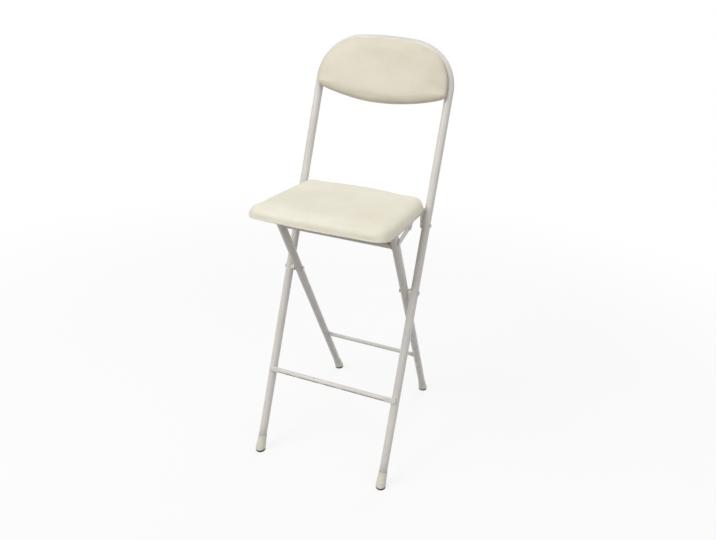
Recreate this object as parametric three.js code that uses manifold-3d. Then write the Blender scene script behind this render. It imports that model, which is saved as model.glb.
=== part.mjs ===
// Folding bar stool, in millimetres with +Z up. The sitter faces -Y, and left and right are as seen from the
// front. One bent tube makes the back and the front legs. A second pair of legs crosses it at two rivets. The
// padded seat hinges on the bent tube, and two short links tie it to the tops of the crossing legs, so that
// seat and legs fold together, flat between the legs of the bent tube.

import * as THREE from 'three';
import { mergeVertices } from 'three/addons/utils/BufferGeometryUtils.js';
import Module from 'manifold-3d';

const wasm = await Module();
wasm.setup();

const fullTurn = 2 * Math.PI;
const halfTurn = fullTurn / 2;
const quarterTurn = fullTurn / 4;
const degree = fullTurn / 360;
const sides = { left: -1, right: 1 };

// Stance
const overallHeight = 1150;
const frameWidth = 374;
const footSpread = 473;
const mainLean = 18.8 * degree;
const foldedAngle = 1.3 * degree;

// Tube of the frame and its bends
const tubeDiameter = 22;
const tubeWall = 1.2;
const archRadius = 118;
const archCrownAngle = 5 * degree;

// Gaps: between pieces that rest on each other, beside moving plates, and past the far side of a cut
const fit = 0.3;
const runClearance = 0.5;
const overrun = 6;

// Seat
const seatHeight = 765;
const seatSlope = 0.5 * degree;
const seatReach = 57;
const seatDepth = 325;
const seatSideGap = 1.5;
const seatFrontCorner = 35;
const seatFrontBowAngle = 4 * degree;
const seatRearCorner = 42;
const seatRearBowAngle = 8 * degree;
const seatFoam = 21;
const seatCrown = 5;

// Back rest
const backCover = 6;
const backHeight = 171;
const backBottomCorner = 16;
const backBottomBowAngle = 18 * degree;
const backFoam = 15;
const backCrown = 4;

// Upholstery: plywood board, and the cover wrapped round its edge
const boardThickness = 9;
const boardInset = 7;
const coverLap = 3;
const coverTuck = 3.5;
const coverEdge = 13;
const sidePull = 2;
const swellShare = 0.45;

// Folding gear: heights below the seat board of the two pivots on the legs, how far the front one stands
// before the other, then plates and rivets
const hingeDrop = 43;
const legPivotDrop = 33.6;
const legPivotReach = 166.4;
const plate = 1.6;
const plateBend = 1.5;
const flangeWidth = 24;
const webDepth = 11;
const earRadius = 10;
const linkRadius = 9;
const bracketFrontReach = 34;
const bracketRearReach = 15;
const pinRadius = 3;
const pinHead = 0.7;
const pinHeadRadius = 5.5;
const axleRadius = 4;
const axleHeadRadius = 7;
const axleHead = 3;
const axleTail = 2;
const spacerRadius = 9;

// Cross bars
const footRestHeight = 234;
const footRestDiameter = 13;
const footRestOverlap = 5;
const footRestFlat = 5;
const footRestPaddle = 17;
const footRestTaper = 22;
const footRestFlatRun = 20;
const footRestSquareShare = 0.5;
const topRailDiameter = 16;
const topRailDrop = 24;
const rearRungHeight = 204;
const rearRungDiameter = 12;
const barWall = 1.2;

// Feet: ribbed sleeve on the tube end, rubber sole below it
const soleHeight = 5;
const soleRadius = 11.5;
const soleEdge = 1.2;
const soleBulgeShares = [0.75, 0.34];
const soleStem = 5;
const tubeEnd = 20;
const sleeveLength = 46;
const sleeveWall = 1.5;
const sleeveFlare = 1.2;
const sleeveChamfer = 0.8;
const ribCount = 3;
const ribStart = 20;
const ribPitch = 5.5;
const ribGroove = 0.7;
const ribFaceShares = [0.25, 0.5];

// Plugs in the tops of the rear legs
const plugHead = 3;
const plugEdge = 1.5;
const plugSpigot = 12;
const plugRoundShare = 0.34;

// Tabs behind the back rest, and wood screws
const tabWidth = 22;
const tabLength = 34;
const tabThickness = 2;
const tabCorner = 5;
const tabScrewEdge = 10;
const upperTabSpacing = 120;
const lowerTabRise = 58;
const screwRadius = 2;
const screwHeadRadius = 4;
const screwHead = 2.2;
const screwBite = 6;
const headShoulderShare = 0.6;
const headRimShare = 0.34;
const earShoulderShare = 1.6;
const bracketScrewShares = [0.28, 0.52, 0.76];

// Facets round each kind of surface
const tubeFacets = 20;
const turnedFacets = 18;
const smallFacets = 12;
const bendFacets = 6;
const plateFacets = 10;
const archCornerSteps = 10;
const archCrownSteps = 3;
const restFacets = 16;
const restTaperSteps = 4;
const restTipSteps = 4;
const plateBendSteps = 3;

// Finishes
const powderCoat = new THREE.MeshStandardMaterial({ color: '#dcd8d0', roughness: 0.35, metalness: 0.1 });
const bareSteel = new THREE.MeshStandardMaterial({ color: '#8f8f8c', roughness: 0.4, metalness: 0.9 });
const seatLeather = new THREE.MeshStandardMaterial({ color: '#ece7d6', roughness: 0.55, metalness: 0 });
const backLeather = new THREE.MeshStandardMaterial({ color: '#e6dfcd', roughness: 0.55, metalness: 0 });
const ivoryPlastic = new THREE.MeshStandardMaterial({ color: '#e4deca', roughness: 0.5, metalness: 0 });
const blackRubber = new THREE.MeshStandardMaterial({ color: '#1b1b1a', roughness: 0.9, metalness: 0 });
const plywood = new THREE.MeshStandardMaterial({ color: '#b08b5c', roughness: 0.8, metalness: 0 });

// Places across the stool, on the right-hand side: from the rear leg's outer face out to the main tube's
// inner face lie a link, the seat bracket's ear and the rivet heads beside them, each with its gap.
const tubeRadius = tubeDiameter / 2;
const tubeBore = tubeRadius - tubeWall;
const mainX = frameWidth / 2;
const mainInnerX = mainX - tubeRadius;
const mainOuterX = mainX + tubeRadius;
const earOuterX = mainInnerX - runClearance - pinHead - fit;
const earInnerX = earOuterX - plate;
const linkOuterX = earInnerX - fit;
const linkInnerX = linkOuterX - plate;
const rearOuterX = linkInnerX - fit - pinHead - runClearance;
const rearX = rearOuterX - tubeRadius;
const rearInnerX = rearX - tubeRadius;

// Side view: points are (y, z) with y back from the front feet, and angles turn from +Y to +Z.
const seatHalfWidth = mainInnerX - seatSideGap;
const seatThickness = boardThickness + seatFoam;
const boardFrontHeight = seatHeight - seatThickness / Math.cos(seatSlope);

// The hinge is the point of the main legs' axis that lies its own drop below the seat board.
const mainRun = Math.tan(mainLean);
const boardFall = Math.tan(seatSlope);
const hingeHeight = (boardFrontHeight - boardFall * seatReach - hingeDrop) / (1 + boardFall * mainRun);
const seatHinge = new THREE.Vector2(mainRun * hingeHeight, hingeHeight);

// From the seat's own frame, whose origin is the hinge and whose z is square to the board, and back to it
function fromSeatFrame(point) {
  return point.clone().rotateAround(new THREE.Vector2(), -seatSlope).add(seatHinge);
}

function inSeatFrame(point) {
  return point.clone().sub(seatHinge).rotateAround(new THREE.Vector2(), seatSlope);
}

// The rear legs run from their feet to the pivot under the front of the board, which sets their lean.
const legPivotInSeat = new THREE.Vector2(-legPivotReach, (hingeDrop - legPivotDrop) * Math.cos(seatSlope));
const legPivot = fromSeatFrame(legPivotInSeat);
const rearRun = (legPivot.x - footSpread) / legPivot.y;
const rearLean = -Math.atan(rearRun);
const crossingReach = (mainRun * footSpread) / (mainRun - rearRun);
const crossing = new THREE.Vector2(crossingReach, crossingReach / mainRun);

// Folding turns the rear legs to within the folded angle of the main tube, and the seat parallel to it.
const rearTurn = -(mainLean + rearLean - foldedAngle);
const seatTurn = -(quarterTurn + mainLean - seatSlope);

// Where the rear legs' top pivot stands beside the seat when a share of the fold is done
function legPivotBesideSeat(foldShare) {
  const moved = legPivot.clone().rotateAround(crossing, rearTurn * foldShare);
  return moved.rotateAround(seatHinge, -seatTurn * foldShare);
}

// The centre of the circle through three points
function circleCentre(a, b, c) {
  const d = 2 * (a.x * (b.y - c.y) + b.x * (c.y - a.y) + c.x * (a.y - b.y));
  const [aa, bb, cc] = [a.lengthSq(), b.lengthSq(), c.lengthSq()];
  const x = (aa * (b.y - c.y) + bb * (c.y - a.y) + cc * (a.y - b.y)) / d;
  const y = (aa * (c.x - b.x) + bb * (a.x - c.x) + cc * (b.x - a.x)) / d;
  return new THREE.Vector2(x, y);
}

// The link turns about the centre of the path that the leg pivot draws beside the seat.
const foldShares = [0, 0.5, 1];
const linkPivot = circleCentre(...foldShares.map(legPivotBesideSeat));
const linkArm = legPivot.clone().sub(linkPivot);
const linkLength = linkArm.length();

const pivotInSeat = inSeatFrame(linkPivot);
const boardUnderside = hingeDrop * Math.cos(seatSlope);
const bracketTop = boardUnderside - fit;
const flangeUnderside = bracketTop - plate;
const seatSwell = boardUnderside + coverLap + (seatThickness - coverLap) * swellShare;
const seatFrontOffset = -seatReach - seatHinge.x - seatSwell * Math.sin(seatSlope);
const seatFront = seatFrontOffset / Math.cos(seatSlope) - sidePull;
const bracketFront = legPivotInSeat.x - bracketFrontReach;
const flangeX = earOuterX - flangeWidth / 2;

// Heights along the legs: the main tube's from the floor, the rear legs' from the crossing
const archTop = (overallHeight - tubeRadius) / Math.cos(mainLean);
const archHalfCrown = mainX - archRadius * (1 - Math.sin(archCrownAngle));
const archCrownRadius = archHalfCrown / Math.sin(archCrownAngle);
const archCrownRise = archCrownRadius * (1 - Math.cos(archCrownAngle));
const backTubeMargin = tubeRadius - backCover;
const backBottom = archTop - backTubeMargin - backHeight;
const boardBack = tubeRadius + fit;
const archSpring = archTop - archCrownRise - archRadius * Math.cos(archCrownAngle);
const mainCrossingRise = crossing.y / Math.cos(mainLean);
const mainHingeRise = seatHinge.y / Math.cos(mainLean);
const rearFloor = -crossing.y / Math.cos(rearLean);
const rearPivotRise = legPivot.distanceTo(crossing);
const legTilt = rearLean + seatSlope;
const plugRoom = flangeUnderside - fit - legPivotInSeat.y;
const plugTop = rearPivotRise + (plugRoom - (tubeRadius - plugEdge) * Math.sin(legTilt)) / Math.cos(legTilt);
const rearLegTop = plugTop - plugHead - fit;

// A closed mesh as a solid for cuts and joins, without the empty triangles at a lathe's poles, and back
function solidOf(geometry) {
  const bare = geometry.clone();
  bare.deleteAttribute('normal');
  bare.deleteAttribute('uv');
  const merged = mergeVertices(bare);
  const corners = merged.index.array;
  const kept = [];
  for (let i = 0; i < corners.length; i += 3) {
    const [a, b, c] = corners.slice(i, i + 3);
    if (a !== b && b !== c && c !== a) {
      kept.push(a, b, c);
    }
  }
  const vertProperties = new Float32Array(merged.attributes.position.array);
  return new wasm.Manifold(new wasm.Mesh({ numProp: 3, vertProperties, triVerts: new Uint32Array(kept) }));
}

function geometryOf(solid) {
  const mesh = solid.getMesh();
  const geometry = new THREE.BufferGeometry();
  geometry.setAttribute('position', new THREE.BufferAttribute(new Float32Array(mesh.vertProperties), 3));
  geometry.setIndex(new THREE.BufferAttribute(new Uint32Array(mesh.triVerts), 1));
  geometry.computeVertexNormals();
  return geometry;
}

function cut(geometry, ...tools) {
  return geometryOf(tools.reduce((solid, tool) => solid.subtract(solidOf(tool)), solidOf(geometry)));
}

function join(...geometries) {
  return geometryOf(geometries.map(solidOf).reduce((a, b) => a.add(b)));
}

// Shapes and simple bodies
function disc(radius) {
  return new THREE.Shape().absarc(0, 0, radius, 0, fullTurn);
}

function ring(outer, inner) {
  const shape = disc(outer);
  shape.holes.push(new THREE.Path().absarc(0, 0, inner, 0, fullTurn, true));
  return shape;
}

// A shape pushed along +Z from one height to another; facets counts the sides of a full circle
function upZ(shape, from, to, facets) {
  const options = { depth: to - from, bevelEnabled: false, curveSegments: facets / 2 };
  return new THREE.ExtrudeGeometry(shape, options).translate(0, 0, from);
}

// The same along +X: the shape's x and y lie along Y and Z
function acrossX(shape, from, to, facets) {
  return upZ(shape, 0, to - from, facets).rotateX(quarterTurn).rotateZ(quarterTurn).translate(from, 0, 0);
}

function cylinderX(radius, from, to, facets) {
  return acrossX(disc(radius), Math.min(from, to), Math.max(from, to), facets);
}

// A profile of (radius, height) points turned round the Z axis
function turned(points, facets) {
  const profile = points.map(([radius, height]) => new THREE.Vector2(radius, height));
  return geometryOf(solidOf(new THREE.LatheGeometry(profile, facets).rotateX(quarterTurn)));
}

// A turned body laid along X: its heights run outwards on either side of the stool
function turnedX(points, side, facets) {
  return turned(points, facets).rotateY(side * quarterTurn);
}

// Rings of points joined by a skin, with a flat or pointed end at each centre
function loft(rings, firstCentre, lastCentre) {
  const count = rings[0].length;
  const positions = [...rings.flat(), firstCentre, lastCentre];
  const first = rings.length * count;
  const index = [];
  for (let j = 0; j < count; j += 1) {
    const k = (j + 1) % count;
    index.push(first, k, j);
    index.push(first + 1, first - count + j, first - count + k);
    for (let i = 0; i + 1 < rings.length; i += 1) {
      const [low, high] = [i * count, (i + 1) * count];
      index.push(low + j, low + k, high + k);
      index.push(low + j, high + k, high + j);
    }
  }
  const geometry = new THREE.BufferGeometry().setFromPoints(positions);
  geometry.setIndex(index);
  geometry.computeVertexNormals();
  return geometry;
}

// A path given by stations, so that a straight run takes one step and a bend takes even ones
class StationPath extends THREE.Curve {
  constructor(stations) {
    super();
    this.stations = stations;
  }

  station(share) {
    return this.stations[Math.round(share * (this.stations.length - 1))];
  }

  getPoint(share, target = new THREE.Vector3()) {
    return target.copy(this.station(share).point);
  }

  getPointAt(share, target) {
    return this.getPoint(share, target);
  }

  getTangentAt(share, target = new THREE.Vector3()) {
    return target.copy(this.station(share).tangent);
  }
}

// The main tube's centre line in its own plane: up the left leg, round the arch and down the right leg
function archPath(legEnd) {
  const stations = [];
  const place = (x, z, angle) => {
    const tangent = new THREE.Vector3(Math.sin(angle), 0, -Math.cos(angle));
    stations.push({ point: new THREE.Vector3(x, 0, z), tangent });
  };
  const arc = (x, z, radius, from, to, steps, first) => {
    for (let i = first; i <= steps; i += 1) {
      const angle = from + ((to - from) * i) / steps;
      place(x + radius * Math.cos(angle), z + radius * Math.sin(angle), angle);
    }
  };
  const cornerX = mainX - archRadius;
  const crownFrom = quarterTurn + archCrownAngle;
  const crownTo = quarterTurn - archCrownAngle;
  place(-mainX, legEnd, halfTurn);
  arc(-cornerX, archSpring, archRadius, halfTurn, crownFrom, archCornerSteps, 0);
  arc(0, archTop - archCrownRadius, archCrownRadius, crownFrom, crownTo, archCrownSteps, 1);
  arc(cornerX, archSpring, archRadius, crownTo, 0, archCornerSteps, 1);
  place(mainX, legEnd, 0);
  return new StationPath(stations);
}

function archTube(shape, legEnd) {
  const path = archPath(legEnd);
  const steps = path.stations.length - 1;
  return new THREE.ExtrudeGeometry(shape, { steps, extrudePath: path, curveSegments: tubeFacets / 2 });
}

// A straight leg as a solid rod a little thicker than its tube, for seating what lies against it
function legSeat(x, from, to) {
  return upZ(disc(tubeRadius + fit), from, to, tubeFacets).translate(x, 0, 0);
}

// Rivet along X. The shank runs from one face to another, with a domed head past the outer face and a flat
// tail past the inner one.
function rivet({ side, radius, inner, outer, head, headRadius, tail, tailRadius, facets }) {
  const shoulder = headRadius * headShoulderShare;
  return turnedX([
    [0, inner - tail],
    [tailRadius, inner - tail],
    [tailRadius, inner],
    [radius, inner],
    [radius, outer],
    [headRadius, outer],
    [headRadius, outer + head * headRimShare],
    [shoulder, outer + head],
    [0, outer + head],
  ], side, facets);
}

function addPart(group, name, geometry, material) {
  const mesh = new THREE.Mesh(geometry, material);
  mesh.name = name;
  group.add(mesh);
  return mesh;
}

// Outline of a pad from its near end at y = 0 to its far end, as points with the inward pull of its sides.
// Each end is a shallow arc between two rounded corners, so an inset only makes every radius smaller.
function padOutline(pad, inset) {
  const { halfWidth, length, nearCorner, nearBow, farCorner, farBow } = pad;
  const points = [];
  const arc = (x, y, radius, from, to, steps, pulls) => {
    for (let i = 0; i < steps; i += 1) {
      const angle = from + ((to - from) * i) / steps;
      const pull = pulls ? Math.sin((halfTurn * i) / steps) ** 2 : 0;
      points.push({ x: x + radius * Math.cos(angle), y: y + radius * Math.sin(angle), pull });
    }
  };
  const end = (corner, bow) => {
    const reach = halfWidth - corner * (1 - Math.sin(bow));
    const radius = reach / Math.sin(bow);
    return { radius, centre: radius, cornerRise: radius - (radius - corner) * Math.cos(bow) };
  };
  const near = end(nearCorner, nearBow);
  const far = end(farCorner, farBow);
  const down = -quarterTurn;
  const up = quarterTurn;
  const nearX = halfWidth - nearCorner;
  const farX = halfWidth - farCorner;
  const sideFrom = near.cornerRise;
  const sideTo = length - far.cornerRise;
  const side = (x, from, to) => {
    for (let i = 0; i < pad.sideSteps; i += 1) {
      const share = i / pad.sideSteps;
      points.push({ x, y: from + (to - from) * share, pull: Math.sin(halfTurn * share) ** 2 });
    }
  };
  arc(0, near.centre, near.radius - inset, down - nearBow, down + nearBow, pad.endSteps, true);
  arc(nearX, sideFrom, nearCorner - inset, down + nearBow, 0, pad.cornerSteps, false);
  side(halfWidth - inset, sideFrom, sideTo);
  arc(farX, sideTo, farCorner - inset, 0, up - farBow, pad.cornerSteps, false);
  arc(0, length - far.centre, far.radius - inset, up - farBow, up + farBow, pad.endSteps, true);
  arc(-farX, sideTo, farCorner - inset, up + farBow, halfTurn, pad.cornerSteps, false);
  side(-halfWidth + inset, sideTo, sideFrom);
  arc(-nearX, sideFrom, nearCorner - inset, halfTurn, fullTurn + down - nearBow, pad.cornerSteps, false);
  return points;
}

// A board of the pad's outline with its back at z = 0, drilled from the back for its screws
function padBoard(pad, screws) {
  const outline = new THREE.Shape(padOutline(pad, boardInset).map(({ x, y }) => new THREE.Vector2(x, y)));
  const board = upZ(outline, 0, boardThickness, turnedFacets);
  const holes = screws.map(([x, y]) =>
    upZ(disc(screwRadius + fit), -overrun, screwBite + fit, smallFacets).translate(x, y, 0));
  return cut(board, ...holes);
}

// The padded cover over a board: sides that swell and draw in again, and a crowned face
function padCushion(pad) {
  const { length, foam, crown } = pad;
  const rim = boardThickness + foam;
  const middle = new THREE.Vector2(0, length / 2);
  const rings = [];
  const level = (height, inset, share) => {
    const ringPoints = padOutline(pad, inset).map(({ x, y, pull }) => {
      const point = new THREE.Vector2(x, y);
      const inward = middle.clone().sub(point).setLength(sidePull * pull);
      point.add(inward).sub(middle).multiplyScalar(share).add(middle);
      return new THREE.Vector3(point.x, point.y, height + crown * (1 - share ** 2));
    });
    rings.push(ringPoints);
  };
  level(coverLap, coverTuck, 1);
  for (const [heightShare, insetShare] of pad.sideShares) {
    level(coverLap + (rim - coverLap) * heightShare, coverEdge * insetShare, 1);
  }
  for (const share of pad.crownShares) {
    level(rim, coverEdge, share);
  }
  const under = new THREE.Vector3(middle.x, middle.y, coverLap);
  const top = new THREE.Vector3(middle.x, middle.y, rim + crown);
  const pocketOutline = padOutline(pad, boardInset - fit).map(({ x, y }) => new THREE.Vector2(x, y));
  const pocket = upZ(new THREE.Shape(pocketOutline), -overrun, boardThickness + fit, turnedFacets);
  return cut(loft(rings, under, top), pocket);
}

// Height and inset of the cover's edge: swelling to full size below half-way, then rounding onto the face
const coverSideShares = [
  [0.2, 0.06], [swellShare, 0], [0.66, 0.04], [0.82, 0.18], [0.93, 0.46], [1, 1],
];
const coverCrownShares = [0.72, 0.42];

const seatPad = {
  halfWidth: seatHalfWidth,
  length: seatDepth,
  nearCorner: seatFrontCorner,
  nearBow: seatFrontBowAngle,
  farCorner: seatRearCorner,
  farBow: seatRearBowAngle,
  foam: seatFoam,
  crown: seatCrown,
  endSteps: 8,
  cornerSteps: 7,
  sideSteps: 6,
  sideShares: coverSideShares,
  crownShares: coverCrownShares,
};

const backPad = {
  halfWidth: mainInnerX + backCover,
  length: backHeight,
  nearCorner: backBottomCorner,
  nearBow: backBottomBowAngle,
  farCorner: archRadius - backTubeMargin,
  farBow: archCrownAngle,
  foam: backFoam,
  crown: backCrown,
  endSteps: 10,
  cornerSteps: 7,
  sideSteps: 4,
  sideShares: coverSideShares,
  crownShares: coverCrownShares,
};

function sideName(side) {
  return side < 0 ? 'left' : 'right';
}

const stool = new THREE.Group();
const sleeveNeckRadius = tubeRadius + fit + sleeveWall;
const sleeveFootRadius = sleeveNeckRadius + sleeveFlare;

// The stool stands with the middle of its outline over the origin: from the seat's front edge to the back of
// the rear sleeves, where they are cut level above the soles.
const rearReach = footSpread + rearRun * (soleHeight + fit) + sleeveFootRadius / Math.cos(rearLean);
stool.position.y = -(rearReach - seatReach) / 2;

const mainFrame = new THREE.Group();
mainFrame.rotation.x = -mainLean;
const rearFrame = new THREE.Group();
rearFrame.position.set(0, crossing.x, crossing.y);
rearFrame.rotation.x = rearLean;
const seat = new THREE.Group();
seat.position.set(0, seatHinge.x, seatHinge.y);
seat.rotation.x = -seatSlope;
stool.add(mainFrame, rearFrame, seat);

// Main tube, with holes across both legs for the crossing axles and the seat hinges
const archSeat = archTube(disc(tubeRadius + fit), tubeEnd);
const across = mainOuterX + overrun;
addPart(mainFrame, 'main_frame_tube', cut(
  archTube(ring(tubeRadius, tubeBore), tubeEnd),
  cylinderX(axleRadius + fit, -across, across, turnedFacets).translate(0, 0, mainCrossingRise),
  cylinderX(pinRadius + fit, -across, across, smallFacets).translate(0, 0, mainHingeRise),
), powderCoat);

// Foot rest: a rod whose ends are pressed flat and welded on the fronts of the legs. Its section's outline is
// y = t |cos a|^p, z = h |sin a|^p, round where p is 1 and squarer as p falls.
function footRestBar() {
  const round = footRestDiameter / 2;
  const flat = footRestFlat / 2;
  const paddle = footRestPaddle / 2;
  const end = mainX + footRestOverlap;
  const stations = [];
  for (let i = 0; i <= restTaperSteps; i += 1) {
    const share = i / restTaperSteps;
    const ease = THREE.MathUtils.smoothstep(share, 0, 1);
    const x = end - footRestFlatRun - footRestTaper * (1 - share);
    const power = 1 - ease * (1 - footRestSquareShare);
    stations.push([x, round + (paddle - round) * ease, round + (flat - round) * ease, power]);
  }
  for (let i = 0; i < restTipSteps; i += 1) {
    const angle = (quarterTurn * i) / restTipSteps;
    const x = end - paddle + paddle * Math.sin(angle);
    stations.push([x, paddle * Math.cos(angle), flat, footRestSquareShare]);
  }
  const section = ([x, high, thick, power]) => Array.from({ length: restFacets }, (_, i) => {
    const angle = (fullTurn * i) / restFacets;
    const [c, s] = [Math.cos(angle), Math.sin(angle)];
    const y = thick * Math.sign(c) * Math.abs(c) ** power;
    const z = high * Math.sign(s) * Math.abs(s) ** power;
    return new THREE.Vector3(x, y, z);
  });
  const mirrored = [...stations].reverse().map(([x, ...rest]) => [-x, ...rest]);
  const rings = [...mirrored, ...stations].map(section);
  return loft(rings, new THREE.Vector3(-end, 0, 0), new THREE.Vector3(end, 0, 0));
}

const footRestForward = tubeRadius + fit + footRestFlat / 2;
const footRestRise = footRestHeight / Math.cos(mainLean);
addPart(mainFrame, 'foot_rest_bar', footRestBar().translate(0, -footRestForward, footRestRise), powderCoat);

// Rear legs and the two bars between them, whose ends are shaped to the legs they are welded to
for (const side of Object.values(sides)) {
  addPart(rearFrame, `rear_leg_${sideName(side)}`, cut(
    upZ(ring(tubeRadius, tubeBore), rearFloor + tubeEnd, rearLegTop, tubeFacets)
      .translate(side * rearX, 0, 0),
    cylinderX(axleRadius + fit, -across, across, turnedFacets),
    cylinderX(pinRadius + fit, -across, across, smallFacets).translate(0, 0, rearPivotRise),
  ), powderCoat);
}

function rearBar(diameter, rise) {
  const bar = acrossX(ring(diameter / 2, diameter / 2 - barWall), -rearX, rearX, turnedFacets);
  const from = rise - diameter;
  const to = rise + diameter;
  return cut(bar.translate(0, 0, rise), legSeat(-rearX, from, to), legSeat(rearX, from, to));
}

addPart(rearFrame, 'rear_top_rail', rearBar(topRailDiameter, rearPivotRise - topRailDrop), powderCoat);
const rearRungRise = rearFloor + rearRungHeight / Math.cos(rearLean);
addPart(rearFrame, 'rear_rung', rearBar(rearRungDiameter, rearRungRise), powderCoat);

// Feet: each sleeve is cut level above its sole, and the sole's stem is pressed up into the sleeve
function footSleeve() {
  const stemHole = soleStem + fit;
  const bore = tubeRadius + fit;
  const [grooveFloor, grooveTop] = ribFaceShares;
  const flareAt = (height) => sleeveFootRadius - (sleeveFlare * height) / sleeveLength;
  const ribs = Array.from({ length: ribCount }, (_, i) => ribStart + i * ribPitch).flatMap((height) => [
    [flareAt(height), height],
    [flareAt(height) - ribGroove, height + ribPitch * grooveFloor],
    [flareAt(height), height + ribPitch * grooveTop],
  ]);
  return turned([
    [stemHole, -sleeveFootRadius],
    [sleeveFootRadius, -sleeveFootRadius],
    [sleeveFootRadius, 0],
    ...ribs,
    [sleeveNeckRadius, sleeveLength - sleeveChamfer],
    [sleeveNeckRadius - sleeveChamfer, sleeveLength],
    [bore, sleeveLength],
    [bore, tubeEnd - fit],
    [stemHole, tubeEnd - fit],
    [stemHole, -sleeveFootRadius],
  ], turnedFacets);
}

function footSole() {
  const [bulgeOut, bulgeUp] = soleBulgeShares;
  return turned([
    [0, 0],
    [soleRadius - soleEdge, 0],
    [soleRadius - soleEdge + soleEdge * bulgeOut, soleEdge * bulgeUp],
    [soleRadius, soleEdge],
    [soleRadius, soleHeight],
    [0, soleHeight],
  ], turnedFacets);
}

function addFeet(group, name, x, floor) {
  const tilt = group.rotation.x;
  const reach = 2 * sleeveFootRadius;
  for (const side of Object.values(sides)) {
    const place = (geometry) => geometry.translate(side * x, 0, floor);
    const below = new THREE.BoxGeometry(2 * reach, 2 * reach, reach);
    below.translate(0, 0, soleHeight + fit - reach / 2).rotateX(-tilt);
    const sleeve = cut(footSleeve(), below);
    addPart(group, `${name}_foot_sleeve_${sideName(side)}`, place(sleeve), ivoryPlastic);
    const sole = footSole().translate(0, Math.tan(-tilt) * soleHeight, 0).rotateX(-tilt);
    const stemFoot = (soleEdge + soleStem * Math.sin(Math.abs(tilt))) / Math.cos(tilt);
    const stem = upZ(disc(soleStem), stemFoot, tubeEnd - 2 * fit, smallFacets);
    addPart(group, `${name}_foot_sole_${sideName(side)}`, place(join(sole, stem)), blackRubber);
  }
}

addFeet(mainFrame, 'front', mainX, 0);
addFeet(rearFrame, 'rear', rearX, rearFloor);

// Plugs that close the rear legs' tops: the seat brackets rest on their rims
for (const side of Object.values(sides)) {
  const spigot = tubeBore - fit;
  const plug = turned([
    [0, rearLegTop - plugSpigot],
    [spigot - plugEdge * plugRoundShare, rearLegTop - plugSpigot],
    [spigot, rearLegTop - plugSpigot + plugEdge],
    [spigot, rearLegTop + fit],
    [tubeRadius, rearLegTop + fit],
    [tubeRadius, plugTop - plugEdge],
    [tubeRadius - plugEdge * plugRoundShare, plugTop - plugEdge * plugRoundShare],
    [tubeRadius - plugEdge, plugTop],
    [0, plugTop],
  ], turnedFacets);
  addPart(rearFrame, `rear_leg_plug_${sideName(side)}`, plug.translate(side * rearX, 0, 0), ivoryPlastic);
}

// A body turned round an X axis, seated on the main tube's leg at its own height
function saddled(points, side, facets, rise) {
  const reach = 2 * spacerRadius;
  return cut(turnedX(points, side, facets), legSeat(side * mainX, -reach, reach)).translate(0, 0, rise);
}

// Rivet through the main tube: its domed head is shaped to the tube, its tail is a flat button
function throughRivet({ side, radius, inner, tail, tailRadius, headRadius, rise }) {
  const outer = mainOuterX + fit;
  const rim = outer + axleHead * headRimShare;
  const head = saddled([
    [0, mainX],
    [headRadius, mainX],
    [headRadius, rim],
    [headRadius * headShoulderShare, outer + axleHead],
    [0, outer + axleHead],
  ], side, turnedFacets, rise);
  const shank = turnedX([
    [0, inner - tail],
    [tailRadius, inner - tail],
    [tailRadius, inner],
    [radius, inner],
    [radius, rim],
    [0, rim],
  ], side, smallFacets).translate(0, 0, rise);
  return join(head, shank);
}

for (const side of Object.values(sides)) {
  // Crossing: axle rivet through both legs, with a spacer between them
  addPart(mainFrame, `crossing_rivet_${sideName(side)}`, throughRivet({
    side,
    radius: axleRadius,
    inner: rearInnerX - fit,
    tail: axleTail,
    tailRadius: axleHeadRadius,
    headRadius: axleHeadRadius,
    rise: mainCrossingRise,
  }), bareSteel);
  addPart(mainFrame, `crossing_spacer_${sideName(side)}`, saddled([
    [axleRadius + fit, rearOuterX + fit],
    [spacerRadius, rearOuterX + fit],
    [spacerRadius, mainX],
    [axleRadius + fit, mainX],
    [axleRadius + fit, rearOuterX + fit],
  ], side, turnedFacets, mainCrossingRise), ivoryPlastic);

  // Seat hinge: rivet through the leg and the bracket's ear, with a washer between them
  addPart(mainFrame, `seat_hinge_rivet_${sideName(side)}`, throughRivet({
    side,
    radius: pinRadius,
    inner: earInnerX - fit,
    tail: pinHead,
    tailRadius: pinHeadRadius,
    headRadius: pinHeadRadius,
    rise: mainHingeRise,
  }), bareSteel);
  addPart(mainFrame, `seat_hinge_washer_${sideName(side)}`, saddled([
    [pinRadius + fit, earOuterX + fit],
    [axleHeadRadius, earOuterX + fit],
    [axleHeadRadius, mainX],
    [pinRadius + fit, mainX],
    [pinRadius + fit, earOuterX + fit],
  ], side, turnedFacets, mainHingeRise), ivoryPlastic);
}

// Wood screw along +Z: its head lies under the face at z = 0 and its shank goes through it
function woodScrew(length) {
  return turned([
    [0, -fit - screwHead],
    [screwHeadRadius * headShoulderShare, -fit - screwHead],
    [screwHeadRadius, -fit - screwHead * headRimShare],
    [screwHeadRadius, -fit],
    [screwRadius, -fit],
    [screwRadius, length - screwRadius],
    [0, length],
  ], smallFacets);
}

// Back rest: four tabs welded inside the tube, flush with its front, and the padded board screwed to them
function roundedTab(width, height) {
  const [x, y, r] = [width / 2, height / 2, tabCorner];
  return new THREE.Shape()
    .moveTo(x - r, -y)
    .absarc(x - r, r - y, r, -quarterTurn, 0)
    .absarc(x - r, y - r, r, 0, quarterTurn)
    .absarc(r - x, y - r, r, quarterTurn, halfTurn)
    .absarc(r - x, r - y, r, halfTurn, halfTurn + quarterTurn);
}

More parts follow.
